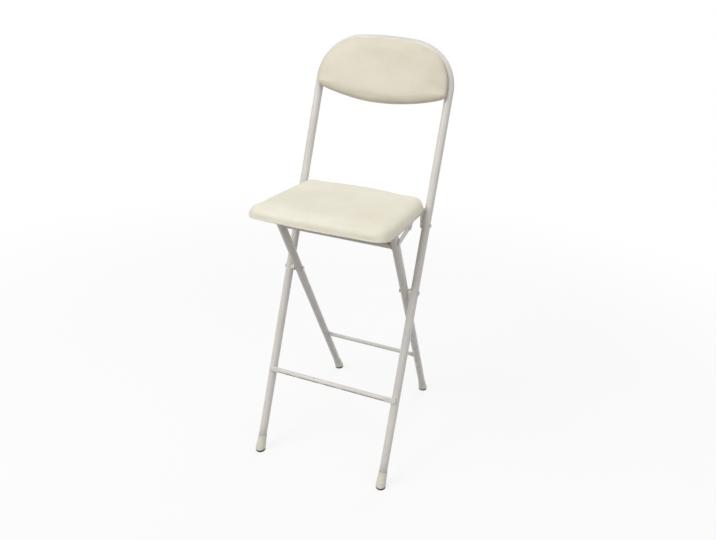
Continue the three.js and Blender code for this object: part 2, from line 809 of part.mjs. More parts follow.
const padEdgeX = mainInnerX + backCover;
const padTop = backBottom + backHeight;
const lowerTabRiseOnTube = backBottom + lowerTabRise;
const backTabs = [
  { name: 'lower', x: padEdgeX - tabLength / 2, z: lowerTabRiseOnTube, width: tabLength, height: tabWidth },
  { name: 'upper', x: upperTabSpacing / 2, z: padTop - tabLength / 2, width: tabWidth, height: tabLength },
];
const backScrews = [];
for (const side of Object.values(sides)) {
  for (const tab of backTabs) {
    const lower = tab.name === 'lower';
    const screwX = lower ? padEdgeX - tabLength + tabScrewEdge : tab.x;
    const screwZ = lower ? tab.z : padTop - tabLength + tabScrewEdge;
    const flat = upZ(roundedTab(tab.width, tab.height), tubeRadius - tabThickness, tubeRadius, bendFacets);
    const hole = upZ(disc(screwRadius + fit), 0, tubeDiameter, smallFacets);
    hole.translate(side * screwX, screwZ, 0);
    const drilled = cut(flat.translate(side * tab.x, tab.z, 0), hole).rotateX(quarterTurn);
    addPart(mainFrame, `back_tab_${tab.name}_${sideName(side)}`, cut(drilled, archSeat), powderCoat);
    const screw = woodScrew(tabThickness + fit + screwBite).rotateX(quarterTurn);
    screw.translate(side * screwX, tabThickness - tubeRadius, screwZ);
    addPart(mainFrame, `back_screw_${tab.name}_${sideName(side)}`, screw, bareSteel);
    backScrews.push([side * screwX, screwZ - backBottom]);
  }
}

// The back rest's face looks forwards: its board's back lies against the tabs
function onBack(geometry) {
  return geometry.rotateX(quarterTurn).translate(0, -boardBack, backBottom);
}

addPart(mainFrame, 'back_board', onBack(padBoard(backPad, backScrews)), plywood);
addPart(mainFrame, 'back_cushion', onBack(padCushion(backPad)), backLeather);

// Seat: bent steel brackets screwed under the board
const bracketLength = bracketRearReach - bracketFront;
const bracketScrews = bracketScrewShares.map((share) => bracketFront + bracketLength * share);

function bracketOutline() {
  const webLow = bracketTop - webDepth;
  const shoulder = earRadius * earShoulderShare;
  return new THREE.Shape()
    .moveTo(bracketFront, bracketTop)
    .lineTo(bracketFront, webLow + webDepth / 2)
    .quadraticCurveTo(bracketFront, webLow, bracketFront + webDepth, webLow)
    .lineTo(pivotInSeat.x - shoulder, webLow)
    .absarc(pivotInSeat.x, pivotInSeat.y, earRadius, halfTurn, fullTurn)
    .lineTo(pivotInSeat.x + shoulder, webLow)
    .lineTo(-shoulder, webLow)
    .absarc(0, 0, earRadius, halfTurn, fullTurn)
    .lineTo(bracketRearReach, webLow)
    .lineTo(bracketRearReach, bracketTop);
}

// The bracket's section: the ear stands below the outer edge of a flange that reaches inwards
function bracketSection(side) {
  const low = -earRadius - overrun;
  const [inX, bendX] = [earInnerX - plateBend, earOuterX - plate - plateBend];
  const bendZ = flangeUnderside - plateBend;
  const shape = new THREE.Shape()
    .moveTo(earOuterX - flangeWidth, bracketTop)
    .lineTo(earOuterX - flangeWidth, flangeUnderside)
    .lineTo(inX, flangeUnderside)
    .absarc(bendX, bendZ, plateBend, quarterTurn, 0, true)
    .lineTo(earInnerX, low)
    .lineTo(earOuterX, low)
    .lineTo(earOuterX, bendZ)
    .absarc(bendX, bendZ, plateBend + plate, 0, quarterTurn);
  return new THREE.Shape(shape.getPoints(plateBendSteps).map(({ x, y }) => new THREE.Vector2(side * x, y)));
}

function bracket(side) {
  const bent = upZ(bracketSection(side), 0, bracketLength, smallFacets).rotateX(quarterTurn);
  bent.translate(0, bracketRearReach, 0);
  const outline = acrossX(bracketOutline(), -across, across, plateFacets);
  const profile = geometryOf(solidOf(bent).intersect(solidOf(outline)));
  const pinHole = cylinderX(pinRadius + fit, 0, side * across, smallFacets);
  const screwHoles = bracketScrews.map((y) =>
    upZ(disc(screwRadius + fit), 0, boardUnderside, smallFacets).translate(side * flangeX, y, 0));
  return cut(profile, pinHole.clone().translate(0, pivotInSeat.x, pivotInSeat.y), pinHole, ...screwHoles);
}

function linkPlate(side) {
  const shape = new THREE.Shape()
    .absarc(0, 0, linkRadius, quarterTurn, halfTurn + quarterTurn)
    .absarc(linkLength, 0, linkRadius, -quarterTurn, quarterTurn);
  for (const x of [0, linkLength]) {
    shape.holes.push(new THREE.Path().absarc(x, 0, pinRadius + fit, 0, fullTurn, true));
  }
  const [from, to] = [side * linkInnerX, side * linkOuterX];
  return acrossX(shape, Math.min(from, to), Math.max(from, to), plateFacets);
}

for (const side of Object.values(sides)) {
  addPart(seat, `seat_bracket_${sideName(side)}`, bracket(side), powderCoat);
  bracketScrews.forEach((y, i) => {
    const screw = woodScrew(plate + fit + screwBite).translate(side * flangeX, y, flangeUnderside);
    addPart(seat, `seat_screw_${sideName(side)}_${i + 1}`, screw, bareSteel);
  });
  addPart(seat, `link_rivet_${sideName(side)}`, rivet({
    side,
    radius: pinRadius,
    inner: linkInnerX - fit,
    outer: earOuterX + fit,
    head: pinHead,
    headRadius: pinHeadRadius,
    tail: pinHead,
    tailRadius: pinHeadRadius,
    facets: smallFacets,
  }).translate(0, pivotInSeat.x, pivotInSeat.y), bareSteel);

  // Link: hangs from the bracket and reaches forward to the rear leg's top
  const link = new THREE.Group();
  link.position.set(0, pivotInSeat.x, pivotInSeat.y);
  link.rotation.x = legPivotInSeat.clone().sub(pivotInSeat).angle();
  seat.add(link);
  addPart(link, `seat_link_${sideName(side)}`, linkPlate(side), powderCoat);

  // The rivet that joins link and rear leg, in two parts with a running gap between them: the head outside
  // the link, and the shank through the leg
  addPart(link, `leg_rivet_head_${sideName(side)}`, turnedX([
    [0, linkInnerX],
    [pinRadius, linkInnerX],
    [pinRadius, linkOuterX + fit],
    [pinHeadRadius, linkOuterX + fit],
    [pinHeadRadius * headShoulderShare, linkOuterX + fit + pinHead],
    [0, linkOuterX + fit + pinHead],
  ], side, smallFacets).translate(0, linkLength, 0), bareSteel);
  addPart(rearFrame, `leg_rivet_${sideName(side)}`, rivet({
    side,
    radius: pinRadius,
    inner: rearInnerX - fit,
    outer: rearOuterX + fit,
    head: linkInnerX - rearOuterX - 2 * fit,
    headRadius: pinHeadRadius,
    tail: axleTail,
    tailRadius: pinHeadRadius,
    facets: smallFacets,
  }).translate(0, 0, rearPivotRise), bareSteel);
}

const seatScrews = Object.values(sides)
  .flatMap((side) => bracketScrews.map((y) => [side * flangeX, y - seatFront]));

function onSeat(geometry) {
  return geometry.translate(0, seatFront, boardUnderside);
}

addPart(seat, 'seat_board', onSeat(padBoard(seatPad, seatScrews)), plywood);
addPart(seat, 'seat_cushion', onSeat(padCushion(seatPad)), seatLeather);

export default stool;
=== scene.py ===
"""Looks of a folding bar stool: cream padded seat and back on a light grey tube frame that folds flat."""

import logging
import math
from dataclasses import dataclass, field
from enum import Enum
from typing import Any

import bpy
import numpy as np
from mathutils import Matrix, Vector
from numpy.typing import NDArray


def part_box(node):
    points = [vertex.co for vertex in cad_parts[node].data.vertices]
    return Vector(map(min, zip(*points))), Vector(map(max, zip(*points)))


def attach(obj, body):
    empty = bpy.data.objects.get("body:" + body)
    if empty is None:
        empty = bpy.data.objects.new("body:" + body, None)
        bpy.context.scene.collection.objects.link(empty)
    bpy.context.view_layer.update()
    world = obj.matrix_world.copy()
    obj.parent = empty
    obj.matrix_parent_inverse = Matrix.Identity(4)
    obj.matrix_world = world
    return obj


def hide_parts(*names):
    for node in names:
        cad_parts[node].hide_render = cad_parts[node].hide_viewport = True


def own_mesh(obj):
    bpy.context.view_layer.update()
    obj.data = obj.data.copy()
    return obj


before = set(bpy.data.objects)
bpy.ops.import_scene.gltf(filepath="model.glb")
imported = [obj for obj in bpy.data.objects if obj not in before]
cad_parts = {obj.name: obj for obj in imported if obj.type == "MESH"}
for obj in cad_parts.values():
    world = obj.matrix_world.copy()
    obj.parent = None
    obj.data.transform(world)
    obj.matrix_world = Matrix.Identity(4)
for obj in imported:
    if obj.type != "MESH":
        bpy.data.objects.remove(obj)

Array = NDArray[np.float64]
log = logging.getLogger("folding_stool")

MM = 0.001
TURN = 2 * math.pi
QUARTER = math.pi / 2
IMAGE_SIZE = (716, 540)

# Sizes in mm that several sub-assemblies share
TUBE_RADIUS = 11.0
OVERALL_HEIGHT = 1150.0
MAIN_LEG_X = 187.0
REAR_LEG_X = 158.5


class Side(Enum):
    """The stool's two halves, as seen from the front."""

    LEFT = -1
    RIGHT = 1

    @property
    def label(self) -> str:
        """The word used in node names."""
        return self.name.lower()


# Shader maths


class Sock:
    """A node socket that takes part in Python sums, each of which adds its Math node."""

    def __init__(self, tree: "Tree", socket: Any) -> None:
        """Keeps the socket and the tree that it belongs to."""
        self.tree = tree
        self.socket = socket

    def _math(self, operation: str, first: Any, second: Any = 0.0, third: Any = 0.0) -> "Sock":
        """Adds one Math node.

        Args:
            operation: the node's operation.
            first, second, third: its inputs, numbers or sockets.

        Returns:
            The node's result.
        """
        return self.tree.add("ShaderNodeMath", {"operation": operation}, {0: first, 1: second, 2: third})

    def __add__(self, other: Any) -> "Sock":
        """self + other."""
        return self._math("ADD", self, other)

    __radd__ = __add__

    def __sub__(self, other: Any) -> "Sock":
        """self - other."""
        return self._math("SUBTRACT", self, other)

    def __rsub__(self, other: Any) -> "Sock":
        """other - self."""
        return self._math("SUBTRACT", other, self)

    def __mul__(self, other: Any) -> "Sock":
        """self * other."""
        return self._math("MULTIPLY", self, other)

    __rmul__ = __mul__

    def __pow__(self, other: Any) -> "Sock":
        """self ** other."""
        return self._math("POWER", self, other)

    def smooth(self, low: float, high: float) -> "Sock":
        """A smooth step from 0 at low to 1 at high.

        Args:
            low: value that gives 0.
            high: value that gives 1; it may be below low.

        Returns:
            The step.
        """
        settings = {"interpolation_type": "SMOOTHSTEP"}
        span = (low, high, 0.0, 1.0) if low < high else (high, low, 1.0, 0.0)
        inputs = dict(zip(("From Min", "From Max", "To Min", "To Max"), span))
        return self.tree.add("ShaderNodeMapRange", settings, {"Value": self, **inputs})


class Tree:
    """A material's node tree, with one method that adds any node."""

    def __init__(self, name: str) -> None:
        """Starts a material of that name with a Principled shader."""
        self.material = bpy.data.materials.new(name)
        self.material.use_nodes = True
        self.nodes = self.material.node_tree.nodes
        self.links = self.material.node_tree.links
        self.shader = self.nodes["Principled BSDF"]
        self.place = self.add("ShaderNodeTexCoord", {}, {}, "Object")

    def put(self, socket: Any, value: Any) -> None:
        """Links a socket to another, or writes a plain value on it."""
        if isinstance(value, Sock):
            self.links.new(value.socket, socket)
        else:
            socket.default_value = value

    def add(self, kind: str, settings: dict[str, Any], inputs: dict[Any, Any], output: Any = 0) -> Sock:
        """Adds a node.

        Args:
            kind: the node's type.
            settings: its properties, set before its sockets. A ramp's stops are a list of (place, colour).
            inputs: values or links by socket name or number.
            output: the socket to return, by name or number.

        Returns:
            The wanted output.
        """
        node = self.nodes.new(kind)
        for key, value in settings.items():
            if key == "stops":
                while len(node.color_ramp.elements) < len(value):
                    node.color_ramp.elements.new(1.0)
                for stop, (place, colour) in zip(node.color_ramp.elements, value):
                    stop.position = place
                    stop.color = colour
            else:
                setattr(node, key, value)
        for key, value in inputs.items():
            self.put(node.inputs[key], value)
        return Sock(self, node.outputs[output])

    def noise(self, scale: float, detail: float = 3.0, rough: float = 0.5, where: Sock | None = None) -> Sock:
        """A noise of that many cells to the metre, from 0 to 1."""
        inputs = {"Vector": where or self.place, "Scale": scale, "Detail": detail, "Roughness": rough}
        return self.add("ShaderNodeTexNoise", {}, inputs)

    def grain(self, scale: float) -> Sock:
        """Distance in a pattern of cells, with that many cells to the metre."""
        inputs = {"Vector": self.place, "Scale": scale}
        return self.add("ShaderNodeTexVoronoi", {"feature": "F1"}, inputs, "Distance")

    def mix(self, factor: Any, first: Any, second: Any) -> Sock:
        """A colour between first, where factor is 0, and second, where it is 1."""
        settings = {"data_type": "RGBA", "clamp_factor": True}
        return self.add("ShaderNodeMix", settings, {0: factor, 6: first, 7: second}, 2)

    def axis(self, name: str) -> Sock:
        """One axis of the object's place, in metres."""
        return self.add("ShaderNodeSeparateXYZ", {}, {0: self.place}, name)

    def stretched(self, scale: tuple[float, float, float]) -> Sock:
        """The object's place with each axis scaled."""
        return self.add("ShaderNodeMapping", {}, {"Vector": self.place, "Scale": scale})

    def bump(self, height: Sock, depth: float, strength: float, under: Sock | None = None) -> Sock:
        """A normal bent by a height from 0 to 1 that stands for that depth in metres."""
        inputs = {"Height": height, "Distance": depth, "Strength": strength}
        if under is not None:
            inputs["Normal"] = under
        return self.add("ShaderNodeBump", {}, inputs)

    def surface(self, **inputs: Any) -> bpy.types.Material:
        """Sets the shader's sockets and returns the material.

        Args:
            inputs: values or links by socket name, with underscores for spaces.

        Returns:
            The finished material.
        """
        for key, value in inputs.items():
            self.put(self.shader.inputs[key.replace("_", " ")], value)
        return self.material


Colour = tuple[float, float, float, float]


def shade(colour: Colour, factor: float) -> Colour:
    """The colour made lighter or darker by a factor."""
    return (colour[0] * factor, colour[1] * factor, colour[2] * factor, 1.0)


# Finishes


@dataclass(frozen=True)
class PowderCoat:
    """Semi-gloss powder coat on tube: a fine orange peel, faint mottling, and scuffs that show darker."""

    name: str = "powder_coat"
    colour: Colour = (0.735, 0.705, 0.67, 1.0)
    dirt: Colour = (0.2, 0.185, 0.16, 1.0)
    roughness: float = 0.3
    peel_scale: float = 900.0
    peel_depth: float = 0.00006

    def material(self) -> bpy.types.Material:
        """Builds the material."""
        t = Tree(self.name)
        cloud = t.noise(9.0, 4.0, 0.55)
        streak = t.noise(30.0, 5.0, 0.65, t.stretched((1.0, 1.0, 0.18)))
        scuff = t.noise(120.0, 6.0, 0.72).smooth(0.66, 0.74)
        patch = t.noise(11.0, 2.0, 0.5).smooth(0.52, 0.68)
        colour = t.mix(cloud.smooth(0.35, 0.7), shade(self.colour, 0.95), shade(self.colour, 1.04))
        colour = t.mix(streak.smooth(0.5, 0.72) * 0.16, colour, shade(self.colour, 0.78))
        colour = t.mix(scuff * patch * 0.5, colour, self.dirt)
        peel = t.noise(self.peel_scale, 2.0, 0.5)
        return t.surface(
            Base_Color=colour,
            Roughness=cloud.smooth(0.3, 0.75) * 0.1 + scuff * patch * 0.25 + (self.roughness - 0.04),
            Specular_IOR_Level=0.45,
            Normal=t.bump(peel, self.peel_depth, 0.5),
        )


@dataclass(frozen=True)
class WornCoat(PowderCoat):
    """The same coat on the foot rest: darker below, partly as wear and partly as painted shade under the bar,
    and rubbed dark in places on its crest, but not on its ends.

    Crest, belly and reach are the height of its top, the height of its underside and half the length of the
    marked middle, in metres.
    """

    name: str = "worn_coat"
    crest: float = 0.2445
    belly: float = 0.2388
    reach: float = 0.163
    # Dark colour for bared steel where the crest is rubbed, and for painted shade on the underside.
    steel: Colour = (0.13, 0.125, 0.12, 1.0)

    def material(self) -> bpy.types.Material:
        """Builds the material."""
        t = Tree(self.name)
        cloud = t.noise(9.0, 4.0, 0.55)
        patch = t.noise(34.0, 4.0, 0.62, t.stretched((1.0, 0.4, 0.4)))
        fleck = t.noise(210.0, 5.0, 0.7)
        height, across = t.axis("Z"), t.axis("X")
        middle = (across * across).smooth(self.reach**2, (self.reach - 0.012) ** 2)
        # Painted shade and wear: below the belly, the underside is mixed dark in patches.
        below = height.smooth(self.belly, self.belly - 0.0022) * patch.smooth(0.45, 0.5)
        above = height.smooth(self.crest - 0.002, self.crest) * patch.smooth(0.56, 0.68)
        above = above * fleck.smooth(0.5, 0.6)
        wear_and_shade = (below * fleck.smooth(0.3, 0.44) + above * 0.7).smooth(0.1, 0.6) * middle
        colour = t.mix(cloud.smooth(0.35, 0.7), shade(self.colour, 0.95), shade(self.colour, 1.04))
        return t.surface(
            Base_Color=t.mix(wear_and_shade * 0.92, colour, self.steel),
            Roughness=wear_and_shade * 0.2 + cloud * 0.08 + (self.roughness - 0.04),
            Specular_IOR_Level=0.45,
            Normal=t.bump(t.noise(self.peel_scale, 2.0, 0.5) - wear_and_shade * 1.2, self.peel_depth * 1.5, 0.6),
        )


@dataclass(frozen=True)
class CoatedCover:
    """Smooth coated cover: a close pebble grain, creases that fade out, and a slight yellowing in broad patches.
    """

    name: str
    colour: Colour
    rim: Colour
    roughness: float = 0.5
    grain_scale: float = 620.0
    grain_depth: float = 0.00016

    def material(self) -> bpy.types.Material:
        """Builds the material."""
        t = Tree(self.name)
        cloud = t.noise(7.0, 3.0, 0.5)
        blotch = t.noise(38.0, 4.0, 0.6)
        pebble = t.grain(self.grain_scale)
        pore = t.noise(2600.0, 2.0, 0.6)
        wrinkle = t.noise(95.0, 5.0, 0.62, t.stretched((0.35, 1.0, 1.0)))
        colour = t.mix(cloud.smooth(0.36, 0.68) * 0.7, self.colour, self.rim)
        colour = t.mix(blotch.smooth(0.45, 0.75) * 0.22, colour, shade(self.rim, 0.93))
        colour = t.mix(pebble.smooth(0.42, 0.75) * 0.14, colour, shade(self.rim, 0.7))
        grain = t.bump(pebble.smooth(0.1, 0.75) * -1.0 + pore * 0.3, self.grain_depth, 0.45)
        return t.surface(
            Base_Color=colour,
            Roughness=blotch * 0.12 + pebble.smooth(0.3, 0.8) * 0.08 + (self.roughness - 0.1),
            Specular_IOR_Level=0.42,
            Sheen_Weight=0.06,
            Normal=t.bump(wrinkle.smooth(0.4, 0.85), 0.0007, 0.16, grain),
        )


@dataclass(frozen=True)
class MouldedPlastic:
    """Moulded ivory plastic: matte skin with fine texture, darker in patches and specks towards the floor."""

    name: str = "ivory_plastic"
    colour: Colour = (0.79, 0.765, 0.68, 1.0)
    dirt: Colour = (0.34, 0.3, 0.22, 1.0)
    roughness: float = 0.52
    dirt_height: float = 0.055

    def material(self) -> bpy.types.Material:
        """Builds the material."""
        t = Tree(self.name)
        cloud = t.noise(60.0, 4.0, 0.6)
        speck = t.noise(700.0, 3.0, 0.7).smooth(0.62, 0.75)
        # Darker towards the bottom: below this height the colour is mixed towards the dark colour in patches and
        # specks.
        low = t.axis("Z").smooth(self.dirt_height, 0.0)
        colour = t.mix(cloud.smooth(0.35, 0.7), shade(self.colour, 0.94), shade(self.colour, 1.04))
        colour = t.mix(low * cloud.smooth(0.42, 0.64) * 0.22, colour, self.dirt)
        colour = t.mix(speck * low * 0.35, colour, self.dirt)
        return t.surface(
            Base_Color=colour,
            Roughness=cloud * 0.14 + (self.roughness - 0.06),
            Specular_IOR_Level=0.4,
            Normal=t.bump(t.noise(2200.0, 2.0, 0.5), 0.00005, 0.4),
        )


@dataclass(frozen=True)
class FloorRubber:
    """Black rubber, greyed by dust, with a fine rough skin; its near-black also serves as painted contact shadow
    under the feet.
    """

    name: str = "black_rubber"
    colour: Colour = (0.014, 0.0135, 0.013, 1.0)
    dust: Colour = (0.11, 0.1, 0.085, 1.0)

    def material(self) -> bpy.types.Material:
        """Builds the material."""
        t = Tree(self.name)
        dust = t.noise(160.0, 5.0, 0.7)
        return t.surface(
            Base_Color=t.mix(dust.smooth(0.5, 0.75) * 0.35, self.colour, self.dust),
            Roughness=dust * 0.2 + 0.66,
            Specular_IOR_Level=0.3,
            Normal=t.bump(t.noise(1500.0, 3.0, 0.6), 0.0001, 0.5),
        )


@dataclass(frozen=True)
class PlatedSteel:
    """Zinc-plated steel: satin, with a faint crystalline mottling and dull spots."""

    name: str = "bare_steel"
    colour: Colour = (0.56, 0.55, 0.52, 1.0)
    dull: Colour = (0.3, 0.29, 0.26, 1.0)

    def material(self) -> bpy.types.Material:
        """Builds the material."""
        t = Tree(self.name)
        mottle = t.grain(900.0)
        spot = t.noise(260.0, 4.0, 0.65).smooth(0.52, 0.72)
        colour = t.mix(mottle.smooth(0.1, 0.7) * 0.4, self.colour, shade(self.colour, 0.8))
        return t.surface(
            Base_Color=t.mix(spot * 0.6, colour, self.dull),
            Metallic=spot * -0.35 + 0.95,
            Roughness=mottle * 0.12 + spot * 0.25 + 0.3,
            Normal=t.bump(t.noise(3000.0, 2.0, 0.5), 0.00003, 0.4),
        )


@dataclass(frozen=True)
class RawPlywood:
    """Bare plywood whose grain runs along one axis of the board, the one that the pattern is stretched on."""

    name: str = "plywood"
    along: tuple[float, float, float] = (1.0, 0.07, 1.0)
    colour: Colour = (0.44, 0.28, 0.135, 1.0)
    dark: Colour = (0.24, 0.13, 0.055, 1.0)

    def material(self) -> bpy.types.Material:
        """Builds the material."""
        t = Tree(self.name)
        along = t.stretched(self.along)
        ring = t.noise(46.0, 4.0, 0.6, along)
        fibre = t.noise(900.0, 3.0, 0.6, along)
        colour = t.mix(ring.smooth(0.4, 0.62), self.colour, shade(self.colour, 0.72))
        colour = t.mix(fibre.smooth(0.55, 0.72) * 0.5, colour, self.dark)
        return t.surface(
            Base_Color=colour,
            Roughness=ring * 0.12 + 0.62,
            Specular_IOR_Level=0.3,
            Normal=t.bump(fibre, 0.00015, 0.5),
        )


FINISHES = {
    finish.name: finish
    for finish in (
        PowderCoat(),
        WornCoat(),
        CoatedCover("seat_leather", (0.86, 0.825, 0.7, 1.0), (0.8, 0.755, 0.615, 1.0)),
        # The back's cover is the seat's vinyl made darker: painted shade for an upright pad that gets less light
        # from above.
        CoatedCover("back_leather", (0.79, 0.735, 0.61, 1.0), (0.73, 0.67, 0.535, 1.0)),
        MouldedPlastic(),
        FloorRubber(),
        PlatedSteel(),
        RawPlywood(),
        RawPlywood("back_plywood", (0.07, 1.0, 1.0)),
    )
}


class Wardrobe:
    """Makes each finish's material once and puts it on pieces."""

    def __init__(self) -> None:
        """Starts with no material made."""
        self.made: dict[str, bpy.types.Material] = {}

    def material(self, finish: str) -> bpy.types.Material:
        """The material of that finish, made when it is first asked for."""
        if finish not in self.made:
            self.made[finish] = FINISHES[finish].material()
        return self.made[finish]

    def dress(self, piece: bpy.types.Object, finish: str) -> None:
        """Gives a new piece its finish."""
        piece.data.materials.clear()
        piece.data.materials.append(self.material(finish))

    def dress_node(self, node: bpy.types.Object, finish: str) -> None:
        """Gives a node of the frame its finish through its own material slots."""
        for place in node.material_slots:
            place.material = self.material(finish)


WARDROBE = Wardrobe()


# Places and solids


@dataclass(frozen=True)
class Stand:
    """The place and lean of a sub-assembly, in whose own axes its pieces are drawn in mm."""

    origin: tuple[float, float, float]
    lean: float

    def turn(self) -> Array:
        """The rotation about X by the lean, as a matrix."""
        c, s = math.cos(math.radians(self.lean)), math.sin(math.radians(self.lean))
        return np.array([[1, 0, 0], [0, c, -s], [0, s, c]])

    def out(self, points: Array) -> Array:
        """Points in mm in the stand's axes, given back in metres in the row frame."""
        return (points @ self.turn().T + np.array(self.origin)) * MM

    def into(self, points: Array) -> Array:
        """Points in mm in the row frame, given back in the stand's axes."""
        return (points - np.array(self.origin)) @ self.turn()


def middle(node: str) -> Array:
    """The middle of a node's box in mm, which for a round piece is a point of its axis."""
    low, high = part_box(node)
    return np.array((low + high) / 2) / MM


def lean_between(low: Array, high: Array) -> float:
    """How far a leg through two points leans, in degrees: positive where its top comes forward."""
    return math.degrees(math.atan2(low[1] - high[1], high[2] - low[2]))


CROSSING, HINGE = middle("crossing_spacer_right"), middle("seat_hinge_washer_right")
LEG_PIVOT, LINK_PIVOT = middle("leg_rivet_head_right"), middle("link_rivet_right")
MAIN_LEAN, REAR_LEAN = lean_between(CROSSING, HINGE), lean_between(CROSSING, LEG_PIVOT)
MAIN_RISE, REAR_RISE = (1 / math.cos(math.radians(lean)) for lean in (MAIN_LEAN, REAR_LEAN))

# The plug's eased edge meets the seat's bracket, which lies the plug's room above the pivot.
SEAT_SLOPE = 0.5
PLUG_ROOM = 31.4
PLUG_EDGE = 1.5
LEG_TILT = math.radians(REAR_LEAN + SEAT_SLOPE)
PIVOT_RISE = float(np.linalg.norm((LEG_PIVOT - CROSSING)[1:]))
PLUG_TOP = PIVOT_RISE + (PLUG_ROOM - (TUBE_RADIUS - PLUG_EDGE) * math.sin(LEG_TILT)) / math.cos(LEG_TILT)

ORIGIN = (0.0, 0.0, 0.0)
FLOOR = Stand(ORIGIN, 0.0)
MAIN = Stand((0.0, CROSSING[1] + CROSSING[2] * math.tan(math.radians(MAIN_LEAN)), 0.0), MAIN_LEAN)
REAR = Stand((0.0, CROSSING[1], CROSSING[2]), REAR_LEAN)
SEAT = Stand((0.0, HINGE[1], HINGE[2]), -SEAT_SLOPE)
REAR_FLOOR = -CROSSING[2] * REAR_RISE


def skin(name: str, points: Array, faces: list[Array]) -> bpy.types.Object:
    """A smooth shaded mesh from points and faces, turned outwards by the sign of its volume.

    Args:
        name: the object's name.
        points: corner points in metres.
        faces: arrays of corner numbers, three or four to a face.

    Returns:
        The object, linked to the scene.
    """
    corners = np.concatenate([f[:, [0, i, i + 1]] for f in faces for i in range(1, f.shape[1] - 1)])
    a, b, c = points[corners[:, 0]], points[corners[:, 1]], points[corners[:, 2]]
    if np.einsum("ij,ij->i", a, np.cross(b, c)).sum() < 0:
        faces = [f[:, ::-1] for f in faces]
    mesh = bpy.data.meshes.new(name)
    mesh.from_pydata(points.tolist(), [], [row for f in faces for row in f.tolist()])
    mesh.polygons.foreach_set("use_smooth", np.ones(len(mesh.polygons), bool))
    mesh.update()
    piece = bpy.data.objects.new(name, mesh)
    bpy.context.scene.collection.objects.link(piece)
    return piece


def quads(rows: int, columns: int, closed_rows: bool = False) -> Array:
    """Corner numbers of a grid's faces, whose columns close into a ring and whose rows close if wanted."""
    i, j = np.meshgrid(np.arange(rows if closed_rows else rows - 1), np.arange(columns), indexing="ij")
    k, n = (j + 1) % columns, (i + 1) % rows
    grid = [i * columns + j, i * columns + k, n * columns + k, n * columns + j]
    return np.stack(grid, -1).reshape(-1, 4)


def capped(name: str, rings: Array) -> bpy.types.Object:
    """A closed skin over rings of points, with a fan from the middle of the first and of the last ring."""
    rows, columns = rings.shape[:2]
    points = np.concatenate([rings.reshape(-1, 3), rings[0].mean(0)[None], rings[-1].mean(0)[None]])
    j = np.arange(columns)
    k = (j + 1) % columns
    last = (rows - 1) * columns
    low = np.stack([np.full(columns, rows * columns), k, j], -1)
    high = np.stack([np.full(columns, rows * columns + 1), last + j, last + k], -1)
    return skin(name, points, [quads(rows, columns), low, high])


def looped(name: str, rings: Array) -> bpy.types.Object:
    """A closed skin over rings of points whose last ring joins the first."""
    rows, columns = rings.shape[:2]
    return skin(name, rings.reshape(-1, 3), [quads(rows, columns, True)])


def swept(path: Array, across: Array, up: Array, section: Array) -> Array:
    """Rings of a section carried along a path: point = path + across * a + up * b.

    Args:
        path: centre points in mm, one for each station.
        across, up: the section's two directions at each station.
        section: (a, b) in mm for each station and place round it.

    Returns:
        Points as (station, place, axis).
    """
    return path[:, None] + across[:, None] * section[..., :1] + up[:, None] * section[..., 1:]


def rounds(radius: Array, facets: int) -> Array:
    """Circles as sections: (r cos t, r sin t) for each radius r."""
    t = np.arange(facets) * TURN / facets
    return np.stack([radius[:, None] * np.cos(t), radius[:, None] * np.sin(t)], -1)


def softened(profile: list[tuple[float, float]], reach: float, steps: int = 4) -> Array:
    """A profile with rounded corners, each a quadratic curve whose ends are set back by the reach.

    Where an edge is short, they are set back by under half of it.

    Args:
        profile: corner points.
        reach: how far each corner is set back, in mm.
        steps: pieces in each curve.

    Returns:
        The finer profile.
    """
    points = np.array(profile, float)
    before, corner, after = points[:-2], points[1:-1], points[2:]
    back, on = before - corner, after - corner
    lengths = np.stack([np.linalg.norm(back, axis=1), np.linalg.norm(on, axis=1)])
    set_back = np.minimum(reach, 0.45 * lengths.min(0))[:, None]
    start = corner + back / lengths[0][:, None] * set_back
    end = corner + on / lengths[1][:, None] * set_back
    t = np.linspace(0, 1, steps + 1)[None, :, None]
    curves = (1 - t) ** 2 * start[:, None] + 2 * t * (1 - t) * corner[:, None] + t**2 * end[:, None]
    return np.concatenate([points[:1], curves.reshape(-1, 2), points[-1:]])


# Turned profiles start and end this far from the axis, where a cap closes them, in mm.
AXIS_GAP = 0.05
X_AXIS = np.array([1.0, 0.0, 0.0])
Y_AXIS = np.array([0.0, 1.0, 0.0])
Z_AXIS = np.array([0.0, 0.0, 1.0])


def turned(
    name: str, stand: Stand, centre: Array, axis: Array, profile: Array, facets: int = 40
) -> bpy.types.Object:
    """A body turned about an axis: point = centre + axis * h + (side cos t + other sin t) * r.

    Args:
        name: the object's name.
        stand: the axes that it is drawn in.
        centre: the axis's origin in mm.
        axis: its unit direction.
        profile: (h, r) pairs in mm from one end to the other.
        facets: steps round.

    Returns:
        The closed body.
    """
    side = np.roll(axis, 1)
    other = np.cross(axis, side)
    path = centre + profile[:, :1] * axis
    ones = np.ones((len(profile), 1))
    rings = swept(path, ones * side, ones * other, rounds(profile[:, 1], facets))
    return capped(name, stand.out(rings))


def placed(piece: bpy.types.Object, body: str, slot: str, *nodes: str, finish: str = "") -> bpy.types.Object:
    """Dresses a piece, ties it to its body and lets it stand for nodes of the frame.

    Args:
        piece: the finished piece.
        body: the body that it rides on.
        slot: its material slot in the frame.
        nodes: the nodes that it stands for.
        finish: a finish other than the slot's own.

    Returns:
        The piece.
    """
    WARDROBE.dress(piece, finish or slot)
    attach(piece, body)
    if nodes:
        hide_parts(*nodes)
    log.info("%s rides on %s in %s", piece.name, body, finish or slot)
    return piece


# Main frame


